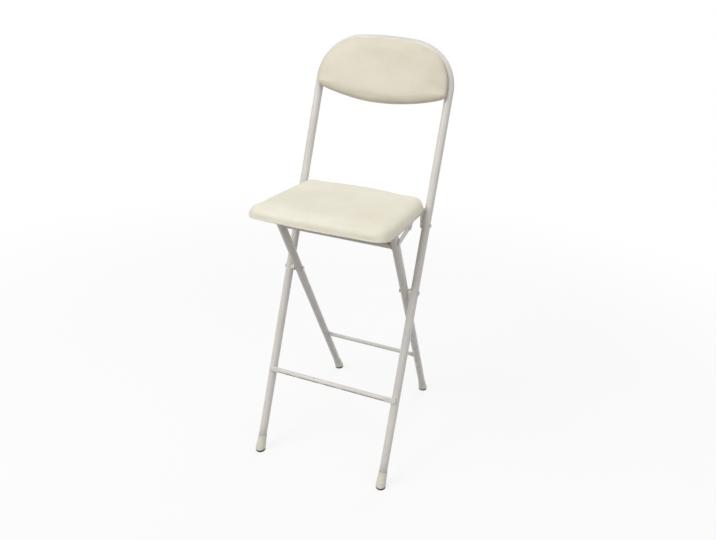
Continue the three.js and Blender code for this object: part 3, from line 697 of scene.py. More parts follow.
@dataclass(frozen=True)
class MainFrame:
    """The bent tube that makes the back and the front legs, and the foot rest welded on its fronts."""

    body: str = "main_frame"
    radius: float = TUBE_RADIUS
    half_width: float = MAIN_LEG_X
    leg_end: float = 20.0
    height: float = OVERALL_HEIGHT
    arch_radius: float = 118.0
    crown_angle: float = 5.0
    leg_steps: int = 19
    corner_steps: int = 36
    crown_steps: int = 20
    squeeze: float = 0.03
    squeeze_blend: int = 7
    rest_rise: float = 234.0 * MAIN_RISE
    rest_forward: float = 13.8
    rest_end: float = 192.0
    rest_radius: float = 6.5
    rest_flat: float = 2.5
    rest_paddle: float = 7.4
    rest_flat_run: float = 20.0
    rest_taper: float = 22.0
    rest_steps: int = 14
    rest_facets: int = 40
    weld_reach: float = 6.5
    weld_radius: float = 2.1

    def arch(self) -> tuple[Array, Array, Array]:
        """The tube's centre line in its own plane, up the left leg, round the arch and down the right one.

        The legs are straight. Each corner is an arc of the corner radius about its centre, and the crown
        between them one of the crown radius: centre + r (cos a, sin a), with a falling from half a turn to 0.

        Returns:
            The points, the outward directions square to the line, and how far each station is bent, 0 or 1.
        """
        crown = math.radians(self.crown_angle)
        top = (self.height - self.radius) * MAIN_RISE
        crown_radius = (self.half_width - self.arch_radius * (1 - math.sin(crown))) / math.sin(crown)
        spring = top - crown_radius * (1 - math.cos(crown)) - self.arch_radius * math.cos(crown)
        leg = np.linspace(self.leg_end, spring, self.leg_steps)[:-1]
        corner = np.linspace(math.pi, QUARTER + crown, self.corner_steps)
        over = np.linspace(QUARTER + crown, QUARTER - crown, self.crown_steps)[1:-1]
        cx = self.half_width - self.arch_radius
        parts = [
            (-cx, spring, self.arch_radius, corner),
            (0.0, top - crown_radius, crown_radius, over),
            (cx, spring, self.arch_radius, math.pi - corner[::-1]),
        ]
        arcs = [
            np.stack([x + r * np.cos(a), z + r * np.sin(a), np.cos(a), np.sin(a)], -1) for x, z, r, a in parts
        ]
        side = np.full_like(leg, self.half_width)
        up = np.stack([-side, leg, -np.ones_like(leg), np.zeros_like(leg)], -1)
        down = np.stack([side, leg[::-1], np.ones_like(leg), np.zeros_like(leg)], -1)
        line = np.concatenate([up, *arcs, down])
        straight, curved = np.zeros(len(leg)), np.ones(len(corner))
        bent = np.concatenate([straight, curved, np.zeros(len(over)), curved, straight])
        window = np.ones(self.squeeze_blend) / self.squeeze_blend
        bent = np.convolve(np.pad(bent, self.squeeze_blend // 2, mode="edge"), window, mode="valid")
        flat = np.zeros(len(line))
        path = np.stack([line[:, 0], flat, line[:, 1]], -1)
        outward = np.stack([line[:, 2], flat, line[:, 3]], -1)
        return path, outward, bent

    def tube(self) -> bpy.types.Object:
        """The bent tube: a circle carried along the arch, squeezed a little across the bend."""
        path, outward, bent = self.arch()
        section = rounds(np.full(len(path), self.radius), 48)
        section[..., 0] *= (1 - self.squeeze * bent)[:, None]
        section[..., 1] *= (1 + self.squeeze / 2 * bent)[:, None]
        rings = swept(path, outward, np.broadcast_to(Y_AXIS, path.shape), section)
        return placed(capped("bent_tube", MAIN.out(rings)), self.body, "powder_coat", "main_frame_tube")

    def rest_bar(self) -> bpy.types.Object:
        """The foot rest: a round rod whose ends are pressed flat with round tips.

        Its section is y = t sign(cos a) |cos a|^p, z = h sign(sin a) |sin a|^p. Towards each end the half
        thickness t falls and the half height h grows by a smooth step while p goes from 1 to a squarer 0.5, and
        at the tips h shrinks as a quarter circle.

        Returns:
            The rod.
        """
        share = np.linspace(0, 1, self.rest_steps + 1)
        ease = share**2 * (3 - 2 * share)
        start = self.rest_end - self.rest_flat_run - self.rest_taper
        high = self.rest_radius + (self.rest_paddle - self.rest_radius) * ease
        thick = self.rest_radius + (self.rest_flat - self.rest_radius) * ease
        taper = np.stack([start + self.rest_taper * share, high, thick, 1 - ease / 2], -1)
        angle = np.linspace(0, QUARTER * 0.985, self.rest_steps)
        x = self.rest_end - self.rest_paddle * (1 - np.sin(angle))
        thick = self.rest_flat * np.cos(angle) ** 0.25
        tip = np.stack([x, self.rest_paddle * np.cos(angle), thick, np.full_like(angle, 0.5)], -1)
        x = np.linspace(0, start, self.rest_steps - 1)[1:-1]
        radius = np.full_like(x, self.rest_radius)
        rod = np.stack([x, radius, radius, np.ones_like(x)], -1)
        half = np.concatenate([rod, taper, tip])
        mirror = half[::-1] * np.array([-1, 1, 1, 1])
        x, high, thick, power = np.concatenate([mirror, half]).T
        angle = np.arange(self.rest_facets) * TURN / self.rest_facets
        c, s = np.cos(angle), np.sin(angle)
        y = thick[:, None] * np.sign(c) * np.abs(c) ** power[:, None]
        z = high[:, None] * np.sign(s) * np.abs(s) ** power[:, None]
        x = np.broadcast_to(x[:, None], y.shape)
        rings = np.stack([x, y - self.rest_forward, z + self.rest_rise], -1)
        piece = capped("foot_rest", MAIN.out(rings))
        return placed(piece, self.body, "powder_coat", "foot_rest_bar", finish="worn_coat")

    def rest_welds(self) -> None:
        """Short beads above and below each flat end.

        A bead has a rippled round section, follows the leg's front, y = -sqrt(R^2 - x^2), and thins out to both
        ends as a half circle.
        """
        u = np.linspace(-1, 1, 41)
        for side in Side:
            for edge in (-1, 1):
                x = self.weld_reach * u
                y = -np.sqrt(self.radius**2 - x**2) - 0.4
                z = np.full_like(u, self.rest_rise + edge * (self.rest_paddle + 0.2))
                path = np.stack([side.value * self.half_width + x, y, z], -1)
                radius = self.weld_radius * np.sqrt(1.0001 - u**2) * (1 + 0.09 * np.sin(u * 34))
                along = np.gradient(path, axis=0)
                along /= np.linalg.norm(along, axis=1)[:, None]
                across = np.broadcast_to(Z_AXIS, path.shape)
                rings = swept(path, across, np.cross(along, across), rounds(radius, 14))
                level = "upper" if edge > 0 else "lower"
                placed(capped(f"rest_weld_{level}_{side.label}", MAIN.out(rings)), self.body, "powder_coat")

    def build(self) -> None:
        """Makes the bent tube, the foot rest and its welds."""
        self.tube()
        self.rest_bar()
        self.rest_welds()


# Rear legs


@dataclass(frozen=True)
class RearLegs:
    """The two crossing legs, the rail and the rung between them, and the plugs in their tops."""

    body: str = "rear_legs"
    radius: float = TUBE_RADIUS
    half_width: float = REAR_LEG_X
    foot_rise: float = REAR_FLOOR
    tube_end: float = 20.0
    leg_steps: int = 25
    top: float = PLUG_TOP - 3.3
    plug_top: float = PLUG_TOP
    bar_run_in: float = 3.0
    rail_rise: float = PIVOT_RISE - 24.0
    rail_radius: float = 8.0
    rung_rise: float = (204.0 - CROSSING[2]) * REAR_RISE
    rung_radius: float = 6.0

    def leg(self, side: Side) -> bpy.types.Object:
        """One leg: a round rod whose upper edge is eased."""
        heights = np.linspace(self.foot_rise + self.tube_end, self.top - 0.6, self.leg_steps)
        wall = np.stack([heights, np.full_like(heights, self.radius)], -1)
        eased = [[self.top - 0.1, self.radius - 0.25], [self.top, self.radius - 0.8]]
        profile = np.concatenate([wall, eased])
        centre = np.array([side.value * self.half_width, 0.0, 0.0])
        piece = turned(f"crossing_leg_{side.label}", REAR, centre, Z_AXIS, profile, 48)
        return placed(piece, self.body, "powder_coat", f"rear_leg_{side.label}")

    def plug(self, side: Side) -> bpy.types.Object:
        """The plug in a leg's top: a collar as wide as the tube under a low dome."""
        low, high = self.top + 0.1, self.plug_top
        corners = [
            (low - 0.6, self.radius - 2.0),
            (low, self.radius - 1.6),
            (low + 0.1, self.radius),
            (high - 1.3, self.radius),
            (high, self.radius - 2.2),
            (high, AXIS_GAP),
        ]
        profile = softened(corners, 1.0)
        centre = np.array([side.value * self.half_width, 0.0, 0.0])
        piece = turned(f"top_plug_{side.label}", REAR, centre, Z_AXIS, profile)
        return placed(piece, self.body, "ivory_plastic", f"rear_leg_plug_{side.label}")

    def bar(self, name: str, node: str, rise: float, radius: float) -> bpy.types.Object:
        """A round bar whose ends run into the legs it is welded to."""
        end = self.half_width - self.radius + self.bar_run_in
        profile = np.stack([np.linspace(-end, end, 13), np.full(13, radius)], -1)
        centre = np.array([0.0, 0.0, rise])
        return placed(turned(name, REAR, centre, X_AXIS, profile, 40), self.body, "powder_coat", node)

    def bar_weld(self, name: str, side: Side, rise: float, radius: float) -> bpy.types.Object:
        """A bead round a bar's end.

        It is a rippled ring along the line where the bar of radius r meets the leg of radius R:
        x = X - sqrt(R^2 - (r cos t)^2), y = r cos t, z = r sin t.

        Args:
            name: the bead's name.
            side: the half of the stool.
            rise: the bar's place along the legs in mm, from the crossing.
            radius: the bar's radius in mm.

        Returns:
            The bead.
        """
        t = np.arange(72) * TURN / 72
        y, z = (radius + 0.5) * np.cos(t), (radius + 0.5) * np.sin(t)
        x = side.value * (self.half_width - np.sqrt(self.radius**2 - y**2) - 0.3)
        path = np.stack([x, y, z + rise], -1)
        away = np.stack([np.zeros_like(t), np.cos(t), np.sin(t)], -1)
        bead = 1.7 * (1 + 0.12 * np.sin(t * 15) + 0.06 * np.sin(t * 4 + 1))
        rings = swept(path, away, np.broadcast_to(X_AXIS, path.shape), rounds(bead, 12))
        return placed(looped(name, REAR.out(rings)), self.body, "powder_coat")

    def build(self) -> None:
        """Makes the legs, plugs, rail, rung and their welds."""
        for side in Side:
            self.leg(side)
            self.plug(side)
            self.bar_weld(f"rail_weld_{side.label}", side, self.rail_rise, self.rail_radius)
            self.bar_weld(f"rung_weld_{side.label}", side, self.rung_rise, self.rung_radius)
        self.bar("top_rail", "rear_top_rail", self.rail_rise, self.rail_radius)
        self.bar("low_rung", "rear_rung", self.rung_rise, self.rung_radius)


# Feet


@dataclass(frozen=True)
class Foot:
    """A ribbed sleeve on a tube's end, cut level at the floor, and the rubber sole under it, whose black also
    stands for painted contact shadow.
    """

    stand: Stand
    body: str
    node: str
    x: float
    floor: float
    length: float = 46.0
    neck: float = 11.9
    foot: float = 13.9
    level: float = 6.8
    settled: float = 17.0
    rib_start: float = 18.5
    rib_pitch: float = 2.7
    rib_count: int = 7
    rib_groove: float = 0.6
    sole_radius: float = 13.3
    sole_top: float = 7.2

    def outline(self) -> Array:
        """The sleeve's outer profile as (height, radius).

        It is a cone with a row of fine round grooves, r = cone - g sin(pi h / pitch)^2, and a lip at its mouth.
        """
        foot, neck, end = self.foot, self.neck, self.length
        low = softened([(0.0, foot - 3.2), (0.0, foot), (self.settled, foot - 0.7)], 1.1, 6)[1:]
        after = self.rib_start + self.rib_count * self.rib_pitch
        h = np.linspace(self.rib_start, after, self.rib_count * 8 + 1)
        cone = foot - (foot - neck) * h / end
        groove = self.rib_groove * np.sin(math.pi * (h - self.rib_start) / self.rib_pitch) ** 2
        lip = [
            (after + 1.0, neck + 0.4),
            (end - 3.0, neck),
            (end - 2.6, neck + 0.2),
            (end, neck + 0.1),
            (end, TUBE_RADIUS + 0.2),
            (end - 2.0, TUBE_RADIUS + 0.05),
        ]
        return np.concatenate([low, np.stack([h, cone - groove], -1), softened(lip, 0.7, 4)])

    def sleeve(self) -> bpy.types.Object:
        """The sleeve: its outline turned round the leg and cut level at the floor.

        All heights below the settled one are drawn towards the cut, h' = c + (s - c) h / s, where c is the
        height of the cut on that side and s the settled height.
        """
        profile = np.concatenate([[[0.0, 5.0]], self.outline()])
        t = np.arange(56) * TURN / 56
        lean = math.radians(self.stand.lean)
        r = profile[:, 1:]
        x, y = r * np.cos(t), r * np.sin(t)
        cut = (self.level - y * math.sin(lean)) / math.cos(lean)
        share = np.clip(profile[:, :1] / self.settled, 0, 1)
        h = np.where(profile[:, :1] < self.settled, cut + (self.settled - cut) * share, profile[:, :1])
        rings = np.stack([x + self.x, y, h + self.floor], -1)
        piece = capped(self.node.replace("foot", "ribbed").format("sleeve"), self.stand.out(rings))
        return placed(piece, self.body, "ivory_plastic", self.node.format("sleeve"))

    def sole(self) -> bpy.types.Object:
        """The sole: a level disc whose rim swells a little over the floor, with one groove round it."""
        centre = np.array([self.x, 0.0, 0.0])
        foot = self.stand.out(np.array([[self.x, 0.0, self.floor]]))[0] / MM
        centre[1] = foot[1] - math.tan(math.radians(self.stand.lean)) * self.level
        r, top = self.sole_radius, self.sole_top
        corners = [
            (0.0, AXIS_GAP),
            (0.0, r - 1.6),
            (0.9, r),
            (2.6, r + 0.15),
            (3.0, r - 0.5),
            (3.5, r - 0.5),
            (3.9, r + 0.1),
            (top - 0.2, r),
            (top, r - 1.0),
            (top, AXIS_GAP),
        ]
        name = self.node.replace("foot", "rubber").format("sole")
        piece = turned(name, FLOOR, centre, Z_AXIS, softened(corners, 0.5, 3), 48)
        # Black rubber sole, dark also as painted contact shadow where the foot meets the floor.
        return placed(piece, self.body, "black_rubber", self.node.format("sole"))

    def build(self) -> None:
        """Makes the sleeve and the sole."""
        self.sleeve()
        self.sole()


# Folding gear


class Head(Enum):
    """How a rivet's end is shaped."""

    DOME = "dome"
    BUTTON = "button"


@dataclass(frozen=True)
class Rivets:
    """The turned steel and plastic pieces of the folding gear, along X on both sides."""

    crossing_rise: float = CROSSING[2] * MAIN_RISE
    hinge_rise: float = HINGE[2] * MAIN_RISE
    pivot_rise: float = PIVOT_RISE
    tube_outer: float = MAIN_LEG_X + TUBE_RADIUS
    tube_middle: float = MAIN_LEG_X
    leg_inner: float = REAR_LEG_X - TUBE_RADIUS
    leg_outer: float = REAR_LEG_X + TUBE_RADIUS
    ear_inner: float = 172.9
    ear_outer: float = 174.5
    link_inner: float = 171.0
    link_outer: float = 172.6
    fit: float = 0.3
    dome_rise: float = 3.3
    thick_shank: float = 4.0
    thin_shank: float = 3.0
    wide_head: float = 7.0
    small_head: float = 5.5
    saddle_reach: float = 8.6
    collar_reach: float = 7.0

    def end(self, kind: Head, start: float, out: float, radius: float) -> list[tuple[float, float]]:
        """A rivet's end from its face at start to out mm beyond it.

        A dome rises from a quarter of its height, h = start + out (1 + 3 sin a) / 4, r = R (cos a)^0.8, and a
        button has an eased flat.

        Args:
            kind: dome or button.
            start: the face's place along the axis.
            out: how far the end stands out, negative towards the tail.
            radius: the end's radius.

        Returns:
            Points as (place, radius), from the face outwards.
        """
        if kind is Head.DOME:
            a = np.linspace(0, QUARTER * 0.98, 10)
            curve = np.stack([start + out * (0.25 + 0.75 * np.sin(a)), radius * np.cos(a) ** 0.8], -1)
            return [(start, radius), *map(tuple, curve)]
        edge = 0.35 * out
        flat = radius - abs(edge) * 1.4
        return [(start, radius), (start + out - edge, radius), (start + out, flat), (start + out, AXIS_GAP)]

    def pin(
        self,
        name: str,
        body: str,
        stand: Stand,
        centre: tuple[float, float, float],
        side: Side,
        tail: tuple[Head, float, float, float],
        head: tuple[Head, float, float, float],
        shank: float,
        slot: str,
        *nodes: str,
    ) -> None:
        """A rivet along X.

        Args:
            name: the piece's name.
            body: the body that it rides on.
            stand: the axes that it is drawn in.
            centre: a point of its axis.
            side: the half of the stool.
            tail, head: each end's kind, its face's x, how far it stands out and its radius.
            shank: the shank's radius.
            slot: its material slot.
            nodes: the nodes that it stands for.
        """
        tail_points = self.end(tail[0], tail[1], -tail[2], tail[3])[::-1]
        head_points = self.end(*head)
        profile = np.array([*tail_points, (tail[1], shank), (head[1], shank), *head_points])
        piece = turned(name, stand, np.array(centre), side.value * X_AXIS, profile)
        placed(piece, body, slot, *nodes)

    def collar(self, name: str, rise: float, side: Side, start: float, radius: float, node: str) -> None:
        """A plastic spacer or washer between a plate and the tube, with eased edges.

        Args:
            name: the piece's name.
            rise: its place along the main legs in mm.
            side: the half of the stool.
            start: the place across the stool where it starts, from which it runs into the tube.
            radius: its radius in mm.
            node: the node that it stands for.
        """
        end = self.tube_middle - self.collar_reach
        half_way = start + (end - start) * 0.5
        corners = [
            (start, self.thin_shank),
            (start, radius - 0.6),
            (start + 0.6, radius),
            (half_way, radius),
            (end, radius),
            (end, self.thin_shank),
        ]
        centre = np.array([0.0, 0.0, rise])
        piece = turned(name, MAIN, centre, side.value * X_AXIS, softened(corners, 0.5, 3))
        placed(piece, "main_frame", "ivory_plastic", node)

    def build(self) -> None:
        """Makes the rivets, spacers and washers of both sides."""
        dome, button = Head.DOME, Head.BUTTON
        saddle = self.tube_middle + self.saddle_reach
        dome_out = self.tube_outer + self.dome_rise - saddle
        wide, small = self.wide_head, self.small_head
        hinge = (0.0, 0.0, self.hinge_rise)
        for side in Side:
            s = side.label
            self.pin(
                f"crossing_axle_{s}", "main_frame", MAIN, (0.0, 0.0, self.crossing_rise), side,
                (button, self.leg_inner - self.fit, 2.0, wide), (dome, saddle, dome_out, wide),
                self.thick_shank, "bare_steel", f"crossing_rivet_{s}",
            )
            self.pin(
                f"seat_hinge_axle_{s}", "main_frame", MAIN, hinge, side,
                (button, self.ear_inner - self.fit, 0.7, small), (dome, saddle, dome_out, small),
                self.thin_shank, "bare_steel", f"seat_hinge_rivet_{s}",
            )
            self.pin(
                f"link_axle_{s}", "seat", SEAT, tuple(SEAT.into(LINK_PIVOT) * (0, 1, 1)), side,
                (button, self.link_inner - self.fit, 0.7, small), (dome, self.ear_outer, 1.0, small),
                self.thin_shank, "bare_steel", f"link_rivet_{s}",
            )
            self.pin(
                f"leg_axle_{s}", "rear_legs", REAR, (0.0, 0.0, self.pivot_rise), side,
                (button, self.leg_inner + 0.4, 2.5, small), (button, self.leg_outer - 0.4, 1.4, small),
                self.thin_shank, "bare_steel", f"leg_rivet_{s}",
            )
            start = self.leg_outer + self.fit
            self.collar(f"crossing_collar_{s}", self.crossing_rise, side, start, 9.0, f"crossing_spacer_{s}")
            start = self.ear_outer + self.fit
            self.collar(f"hinge_collar_{s}", self.hinge_rise, side, start, 7.0, f"seat_hinge_washer_{s}")
            self.link_end(side)

    def link_end(self, side: Side) -> None:
        """The link's half of the leg-top rivet: a shank through the plate under a low dome."""
        corners = [
            (self.link_inner, AXIS_GAP),
            (self.link_inner, self.thin_shank),
            (self.link_outer, self.thin_shank),
            *self.end(Head.DOME, self.link_outer, 1.0, self.small_head),
        ]
        node = f"leg_rivet_head_{side.label}"
        centre = middle(node) * (0, 1, 1)
        name = f"link_end_axle_{side.label}"
        piece = turned(name, FLOOR, centre, side.value * X_AXIS, np.array(corners))
        placed(piece, f"link_{side.label}", "bare_steel", node)


# Padding


@dataclass(frozen=True)
class PadShape:
    """The outline of a pad, from its near end at y = 0 to its far end, and its thickness, in mm."""

    half_width: float
    length: float
    near_corner: float
    near_bow: float
    far_corner: float
    far_bow: float
    thickness: float
    edge: float
    drop: float
    arc_points: int = 60

    def end(self, corner: float, bow: float) -> tuple[float, float]:
        """The radius of an end's shallow arc, and how far from the end its corners' centres lie."""
        angle = math.radians(bow)
        radius = (self.half_width - corner * (1 - math.sin(angle))) / math.sin(angle)
        return radius, radius - (radius - corner) * math.cos(angle)

    def outline(self, inset: float | Array, count: int = 360) -> Array:
        """The outline at an inset, as points anticlockwise from the middle of the near end.

        Each end is a shallow arc of the end's radius between two corner arcs, and the sides are straight. Each
        arc is centre + (r - inset) (cos a, sin a). The middles of the corners come after 1, 3, 5 and 7 eighths
        of the points.

        Args:
            inset: distance inwards, one for all or one for each point.
            count: how many points.

        Returns:
            The points in mm.
        """
        near, near_rise = self.end(self.near_corner, self.near_bow)
        far, far_rise = self.end(self.far_corner, self.far_bow)
        nb, fb, q = math.radians(self.near_bow), math.radians(self.far_bow), QUARTER
        nx, fx = self.half_width - self.near_corner, self.half_width - self.far_corner
        fy = self.length - far_rise
        arcs = [
            (0.0, near, near, -q, -q + nb),
            (nx, near_rise, self.near_corner, -q + nb, 0.0),
            (fx, fy, self.far_corner, 0.0, q - fb),
            (0.0, self.length - far, far, q - fb, q + fb),
            (-fx, fy, self.far_corner, q + fb, 2 * q),
            (-nx, near_rise, self.near_corner, 2 * q, 3 * q - nb),
            (0.0, near, near, 3 * q - nb, 3 * q),
        ]
        angle = np.concatenate([np.linspace(a, b, self.arc_points) for *_, a, b in arcs])
        x, y, r = (np.repeat([arc[i] for arc in arcs], self.arc_points) for i in range(3))
        full = np.stack([x + r * np.cos(angle), y + r * np.sin(angle)], -1)
        run = np.concatenate([[0.0], np.cumsum(np.linalg.norm(np.diff(full, axis=0), axis=1))])
        corner_arcs = (1, 2, 4, 5)
        middles = [(arc + 0.5) * self.arc_points - 0.5 for arc in corner_arcs]
        bends = np.interp([0, *middles, len(full) - 1], np.arange(len(full)), run)
        at = np.interp(np.arange(count) / count * 8, [0, 1, 3, 5, 7, 8], bends)
        point = np.stack([np.interp(at, run, full[:, i]) for i in range(2)], -1)
        heading = np.roll(point, -1, 0) - np.roll(point, 1, 0)
        heading /= np.linalg.norm(heading, axis=1)[:, None]
        inward = np.stack([-heading[:, 1], heading[:, 0]], -1)
        return point + inward * np.broadcast_to(inset, (count,))[:, None]


# Where the cover turns under the board's edge: (inset, height over the board's back) in mm, inwards to out
UNDER_EDGE = (
    (12.0, 0.5),
    (11.0, 0.5),
    (9.5, -0.27),
    (6.5, -0.27),
    (4.4, -0.15),
    (3.0, 0.3),
    (2.1, 1.2),
    (1.6, 2.4),
)


@dataclass(frozen=True)
class Cushion:
    """A padded cover drawn over a board's edge, swelled as cloth and stapled under the board."""

    name: str
    node: str
    body: str
    slot: str
    stand: Stand
    shift: tuple[float, float, float]
    upright: bool
    shape: PadShape
    fill: float
    swell: float
    cells: int = 64
    pleat: float = 0.7
    draw: float = 0.0
    draw_start_share: float = 0.83
    draw_run_share: float = 0.1
    frames: int = 20
    pressure: float = 4.0
    held_height: float = 1.8
    move_rounds: int = 10
    face_rounds: int = 16
    hem_inset: float = 24.0
    staple_inset: float = 15.0
    staple_spacing: float = 31.0

    def out(self, points: Array) -> Array:
        """Points given as (across, along, height above the board's back) in mm, placed in metres."""
        x, y, z = np.moveaxis(points, -1, 0)
        turned_up = np.stack([x, -z, y], -1) if self.upright else points
        return self.stand.out(turned_up + np.array(self.shift))

    def back(self, points: Array) -> Array:
        """The inverse of out."""
        local = (points / MM - np.array(self.stand.origin)) @ self.stand.turn() - np.array(self.shift)
        x, y, z = np.moveaxis(local, -1, 0)
        return np.stack([x, z, -y], -1) if self.upright else local

    def patch(self, ring: Array, first: int) -> tuple[Array, Array]:
        """An even grid of inner points for a ring of 4 n points with corners at n / 2, 3 n / 2 and so on.

        A point is (1 - v) B + v T + (1 - u) L + u R less the same mix of the four corners, where B, T, L and R
        are the points of the four sides across from it.

        Args:
            ring: the ring's points, counted from 0.
            first: the number of the first new point.

        Returns:
            The inner points, and the grid of point numbers with the ring's own at its border.
        """
        n = len(ring) // 4
        k = np.arange(n + 1)
        near, far = (7 * n // 2 + k) % (4 * n), 5 * n // 2 - k
        left, right = 7 * n // 2 - k, n // 2 + k
        u, v = (k / n)[None, :, None], (k / n)[:, None, None]
        sides = (1 - v) * ring[near][None] + v * ring[far][None]
        sides = sides + (1 - u) * ring[left][:, None] + u * ring[right][:, None]
        near_mix = (1 - u) * ring[near[0]] + u * ring[near[-1]]
        far_mix = (1 - u) * ring[far[0]] + u * ring[far[-1]]
        ends = (1 - v) * near_mix + v * far_mix
        numbers = np.empty((n + 1, n + 1), int)
        numbers[0], numbers[-1], numbers[:, 0], numbers[:, -1] = near, far, left, right
        numbers[1:-1, 1:-1] = np.arange((n - 1) ** 2).reshape(n - 1, n - 1) + first
        return (sides - ends)[1:-1, 1:-1].reshape(-1, 3), numbers

    def slab(self) -> bpy.types.Object:
        """The slack cover: levels of the outline, drawn in under the board and rounded over onto the face.

        An even grid closes it over the face and under the board. The rounding is inset = e (1 - cos a),
        height = t - d (1 - sin a) for a from 0 to a quarter turn, with e and d the width and drop of the edge
        and t the thickness, less what the padding will add.

        Returns:
            The closed slab.
        """
        s, count = self.shape, 4 * self.cells
        slack = self.swell * 0.5
        a = np.linspace(0, QUARTER, 9)[1:]
        high = s.thickness - slack
        under_inset, under_height = np.array(UNDER_EDGE).T
        wall_inset, wall_height = np.linspace(1.2, 0.3, 4), np.linspace(4.0, high - s.drop, 4)
        inset = np.concatenate([under_inset, wall_inset, s.edge * (1 - np.cos(a))])
        height = np.concatenate([under_height, wall_height, high - s.drop * (1 - np.sin(a))])
        levels = np.stack([
            np.concatenate([s.outline(i + slack * 0.3, count), np.full((count, 1), h)], -1)
            for i, h in zip(inset, height)
        ])
        rows = len(levels)
        lid, over = self.patch(levels[-1], rows * count)
        floor, under = self.patch(levels[0], rows * count + len(lid))
        over = np.where(over < count, over + (rows - 1) * count, over)
        top, bottom = (
            np.stack([g[:-1, :-1], g[:-1, 1:], g[1:, 1:], g[1:, :-1]], -1).reshape(-1, 4) for g in (over, under)
        )
        points = np.concatenate([levels.reshape(-1, 3), lid, floor])
        faces = [quads(rows, count), top, bottom[:, ::-1]]
        return skin(self.name, self.out(points), faces)

    def swelled(self, piece: bpy.types.Object) -> None:
        """Blows the slack cover up as cloth, with its underside held.

        The moves are evened and keep a soft limit, m' = c tanh(m / c), where m is the move and c the swell.
        """
        start = self.read(piece)
        held = np.flatnonzero(self.back(start)[:, 2] < self.held_height)
        group = piece.vertex_groups.new(name="held")
        group.add(held.tolist(), 1.0, "REPLACE")
        cloth = piece.modifiers.new("padding", "CLOTH")
        cloth.settings.use_pressure = True
        cloth.settings.uniform_pressure_force = self.pressure
        cloth.settings.effector_weights.gravity = 0
        cloth.settings.vertex_group_mass = group.name
        cloth.settings.quality = 5
        cloth.settings.tension_stiffness = cloth.settings.compression_stiffness = 25
        cloth.settings.bending_stiffness = 2
        cloth.point_cache.frame_start, cloth.point_cache.frame_end = 1, self.frames
        for number in range(1, self.frames + 1):
            bpy.context.scene.frame_set(number)
        self.bake(piece)
        bpy.context.scene.frame_set(1)
        piece.vertex_groups.clear()
        move = self.evened(self.read(piece) - start, self.edges(piece), self.move_rounds)
        size = np.linalg.norm(move, axis=1, keepdims=True)
        cap = self.swell * MM
        self.write(piece, start + move * (cap * np.tanh(size / cap) / np.maximum(size, 1e-9)))

    def bake(self, piece: bpy.types.Object) -> None:
        """Replaces the piece's mesh by what its modifiers make of it."""
        graph = bpy.context.evaluated_depsgraph_get()
        mesh = bpy.data.meshes.new_from_object(piece.evaluated_get(graph))
        piece.modifiers.clear()
        piece.data = mesh

    def read(self, piece: bpy.types.Object) -> Array:
        """The piece's points."""
        values = np.empty(len(piece.data.vertices) * 3, np.float32)
        piece.data.vertices.foreach_get("co", values)
        return values.reshape(-1, 3).astype(float)

    def write(self, piece: bpy.types.Object, points: Array) -> None:
        """Moves the piece's points."""
        piece.data.vertices.foreach_set("co", points.astype(np.float32).ravel())
        piece.data.update()

    def edges(self, piece: bpy.types.Object) -> Array:
        """The pairs of point numbers of the piece's edges."""
        values = np.empty(len(piece.data.edges) * 2, np.int32)
        piece.data.edges.foreach_get("vertices", values)
        return values.reshape(-1, 2)

    def evened(self, points: Array, edges: Array, times: int) -> Array:
        """Points drawn half-way to the mean of their neighbours, several times."""
        count = np.bincount(edges.ravel(), minlength=len(points))[:, None]
        for _ in range(times):
            total = np.zeros_like(points)
            np.add.at(total, edges[:, 0], points[edges[:, 1]])
            np.add.at(total, edges[:, 1], points[edges[:, 0]])
            points = 0.5 * points + 0.5 * total / count
        return points

    def narrowed(self, points: Array) -> Array:
        """Points whose sides are drawn in at the far end: x' = x (1 - d s), s a smooth step along y."""
        along = points[..., 1] / self.shape.length
        far = np.clip((along - self.draw_start_share) / self.draw_run_share, 0, 1)
        x = points[..., 0] * (1 - self.draw * far**2 * (3 - 2 * far))
        return np.concatenate([x[..., None], points[..., 1:]], -1)

    def worked(self, piece: bpy.types.Object) -> None:
        """Adds what use and making leave, and draws the sides in towards the tubes at the far end.

        The face is evened out and gets shallow dips, a sum of slow sines. Pleats below the corners draw the side
        in by p (1 - h / H)^2 |sin(k s)| g, where h is the height, s the way round the middle and g is 1 at the
        corners.
        """
        local = self.back(self.read(piece))
        calm = self.evened(local, self.edges(piece), self.face_rounds)
        above = np.clip((local[:, 2] - 4.0) / 8.0, 0, 1)[:, None]
        local = local * (1 - above) + calm * above
        s = self.shape
        x, y, z = local.T
        face = np.clip(z / s.thickness, 0, 1) ** 2
        broad_dip = 0.5 * np.sin(x * 0.021 + 0.6) * np.sin(y * 0.027 + 1.1)
        dip = broad_dip + 0.25 * np.sin(x * 0.053) * np.cos(y * 0.047 + 0.4)
        u, v = x / s.half_width, (y - s.length / 2) / (s.length / 2)
        corner = np.clip(np.abs(u) + np.abs(v) - 1.15, 0, 0.4) / 0.4
        rim = np.clip((np.maximum(np.abs(u), np.abs(v)) - 0.8) / 0.15, 0, 1)
        low = np.clip(1 - z / (0.55 * s.thickness), 0, 1) ** 2
        way = np.arctan2(y - s.length / 2, x)
        fold = self.pleat * low * corner * rim * np.abs(np.sin(way * 46))
        inward = np.stack([-u, -v], -1) / np.maximum(np.hypot(u, v), 1e-6)[:, None]
        local[:, :2] += inward * fold[:, None]
        local[:, 2] += face * dip * 0.8
        self.write(piece, self.out(self.narrowed(local)))

    def cover(self) -> bpy.types.Object:
        """Makes the padded cover."""
        piece = self.slab()
        self.swelled(piece)
        self.worked(piece)
        finer = piece.modifiers.new("finer", "SUBSURF")
        finer.levels = finer.render_levels = 1
        self.bake(piece)
        piece.data.polygons.foreach_set("use_smooth", np.ones(len(piece.data.polygons), bool))
        return placed(piece, self.body, self.slot, self.node)

